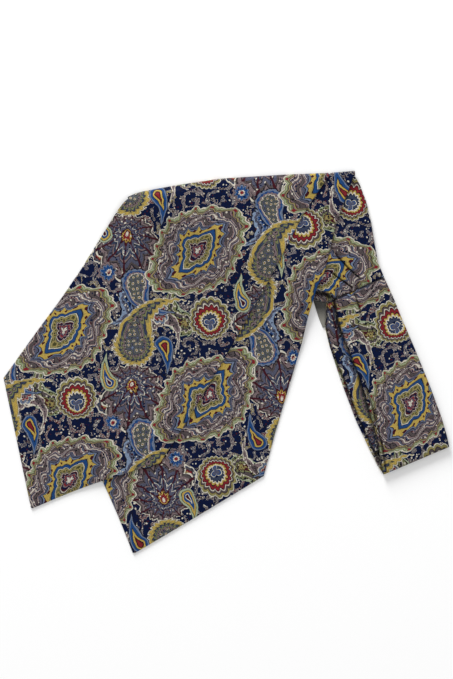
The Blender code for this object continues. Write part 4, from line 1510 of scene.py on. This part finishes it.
def twill_bump(bench, across, along):
    """Slanting ribs, as a bump."""
    ribs = bench.sine((across + along) * (2.0 * pi / TWILL_PITCH))
    return bench.node("ShaderNodeBump", {}, {"Height": ribs, "Distance": TWILL_DEPTH,
                                             "Strength": TWILL_STRENGTH})


# %% [markdown]
# The motifs are laid one over another from the ground up, as a printer lays screens. A value on the
# mesh then darkens the silk in its creases, grooves and seams, as painted shade, and the twill is
# added as a bump.

# %% All of the print
def printed_silk(name):
    """The print from the ground up, under its twill, with painted shade in creases, grooves and seams.
    """
    bench = Bench(name)
    point = cloth_point(bench)
    drawn = bench.noise(point, INK_WANDER["scale"], INK_WANDER["detail"], 1)
    wander = bench.node("ShaderNodeVectorMath", {"operation": "MULTIPLY_ADD"},
                        {0: drawn, 1: (INK_WANDER["reach"],) * 3, 2: point})
    spots = bench.parts(wander)
    colour = scroll_ground(bench, wander)
    fine = bench.voronoi(wander, FLORET_CELL, FLORET_RANDOMNESS)
    florets = bench.ramp(fine, 0.0, 1.0, FLORET_STOPS)
    for leaf in ("sky", "green", "rose", "red"):
        colour = paisley(bench, spots, colour, leaves[leaf], florets)
    for bloom in ("fan", "small", "blue"):
        colour = flower(bench, spots, colour, flowers[bloom])
    masks = dab_masks(bench, wander)
    colour = dabbed(bench, colour, masks)
    for leaf in ("blue", "gold"):
        colour = paisley(bench, spots, colour, leaves[leaf], florets)
    colour = medallion(bench, spots, colour, masks)
    colour = flower(bench, spots, colour, flowers["red"])
    for leaf in ("drop", "low_drop"):
        colour = paisley(bench, spots, colour, leaves[leaf], florets)
    shade = bench.noise(point, SILK_SHADE["scale"], SILK_SHADE["detail"])
    # Painted shade: a value on the mesh darkens the print in creases, grooves, seams and along shaded
    # edges.
    pressed = bench.node("ShaderNodeAttribute", {"attribute_name": "pressed"}, {}, 2)
    value = shade * SILK_SHADE["strength"] + SILK_SHADE["lift"]
    value = value * (1.0 - pressed * PAINTED_CREASE_SHADE)
    tone = bench.node("ShaderNodeHueSaturation", {}, {"Value": value, "Color": colour})
    bench.plug(bench.shader.inputs["Base Color"], tone)
    bench.plug(bench.shader.inputs["Roughness"],
               shade * SILK_ROUGHNESS["spread"] + SILK_ROUGHNESS["least"])
    bench.plug(bench.shader.inputs["Normal"], twill_bump(bench, *bench.parts(point)))
    bench.shader.inputs["Specular IOR Level"].default_value = SILK_SPECULAR
    bench.shader.inputs["Sheen Weight"].default_value = SILK_SHEEN["weight"]
    bench.shader.inputs["Sheen Roughness"].default_value = SILK_SHEEN["roughness"]
    return bench.done()


silk = printed_silk("printed_silk")
for piece in (front_blade, back_blade, back_gather, front_gather, neck_band, band_pleat):
    piece.data.materials.append(silk)

# %% [markdown]
# The back of the silk has no print, only the same twill in a plain grey-olive. It is matt and grows
# darker up into the crook, where the layers close over it and little light comes in.

# %% Plain back of the silk
LINING_INK = ink(112, 110, 102)
LINING_ROUGHNESS = 0.7
LINING_LIGHT = 33.0
LINING_DARK = 44.0
LINING_SHADE = dict(scale=0.9, detail=4.0, strength=0.4, lift=1.05, painted_crook_shade=1.08)


def plain_back():
    """The unprinted side, darker into the crook."""
    bench = Bench("plain_silk_back")
    point = cloth_point(bench)
    shade = bench.noise(point, LINING_SHADE["scale"], LINING_SHADE["detail"])
    across, along = bench.parts(point)
    painted_crook_shade = bench.node("ShaderNodeMapRange", {},
                        {"Value": along, "From Min": LINING_LIGHT, "From Max": LINING_DARK})
    value = shade * LINING_SHADE["strength"] + LINING_SHADE["lift"]
    # Painted shade: darker up into the crook, where the layers close over the back.
    value = value - painted_crook_shade * LINING_SHADE["painted_crook_shade"]
    tone = bench.node("ShaderNodeHueSaturation", {}, {"Value": value, "Color": LINING_INK})
    bench.plug(bench.shader.inputs["Base Color"], tone)
    bench.plug(bench.shader.inputs["Normal"], twill_bump(bench, across, along))
    bench.shader.inputs["Roughness"].default_value = LINING_ROUGHNESS
    return bench.done()


band_lining.data.materials.append(plain_back())

# %% [markdown]
# The seam is sewn with silk thread, coloured dark as painted shade of the seam. Two strands are
# twisted together, and the light on their twist is painted in as lighter slanting stripes, a painted
# highlight. A stripe in the colour is enough, since the whole thread is 0.4 mm thick.

# %% Sewing thread
THREAD_TWIST = 0.5
THREAD_SLANT = 0.4
THREAD_INK = ink(26, 24, 36)
THREAD_PAINTED_HIGHLIGHT = ink(52, 48, 62)
THREAD_ROUGHNESS = dict(least=0.5, spread=0.05)
THREAD_SPECULAR = 0.2


def sewing_thread():
    """Silk thread: two twisted strands, with a painted highlight in slanting stripes."""
    bench = Bench("silk_thread")
    place = bench.node("ShaderNodeTexCoord", {}, {}, 3)
    across, along = bench.parts(bench.scaled(place, 1.0 / MM))
    strands = bench.sine((across + along * THREAD_SLANT) * (2.0 * pi / THREAD_TWIST))
    # Painted highlight: lighter stripes along the twist; the dark base ink is painted shade of the
    # seam.
    colour = bench.paint(strands * 0.5 + 0.5, THREAD_INK, THREAD_PAINTED_HIGHLIGHT)
    bench.plug(bench.shader.inputs["Base Color"], colour)
    bench.plug(bench.shader.inputs["Roughness"],
               strands * THREAD_ROUGHNESS["spread"] + THREAD_ROUGHNESS["least"])
    bench.shader.inputs["Specular IOR Level"].default_value = THREAD_SPECULAR
    return bench.done()


seam_stitches.data.materials.clear()
seam_stitches.data.materials.append(sewing_thread())
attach(seam_stitches, "root")

# %% [markdown]
# Each shell rides with the one body and stands for its own imported solid, which is hidden. The sizes
# are of the cloth that shows, laid flat.

# %% Sheets
SHEETS = [
    (front_blade, "front_blade", (0.153, 0.310), "folded", ["back_blade_silk"], 0.0378),
    (back_blade, "back_blade", (0.164, 0.320), "folded", ["back_gather_silk"], 0.0440),
    (back_gather, "back_gather", (0.172, 0.125), "gathered", ["front_gather_silk"], 0.0104),
    (front_gather, "front_gather", (0.161, 0.120), "gathered", ["floor"], 0.0106),
    (neck_band, "neck_band", (0.066, 0.290), "folded", ["band_pleat_silk"], 0.0167),
    (band_pleat, "band_pleat", (0.019, 0.125), "folded", ["neck_band_silk"], 0.0022),
    (band_lining, "band_lining", (0.010, 0.021), "folded", ["floor"], 0.00015),
]
for piece, node, flat, held, rests_on, area in SHEETS:
    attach(piece, "root")
    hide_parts(node)
    made = sum(face.area for face in piece.data.polygons) / 2.0
    print(node, "cloth area", round(made, 5), "stated", area)

# %% [markdown]
# The colours are shown with the plain transform, so that a white floor stays white.

# %% Finish
bpy.context.scene.view_settings.view_transform = "Standard"
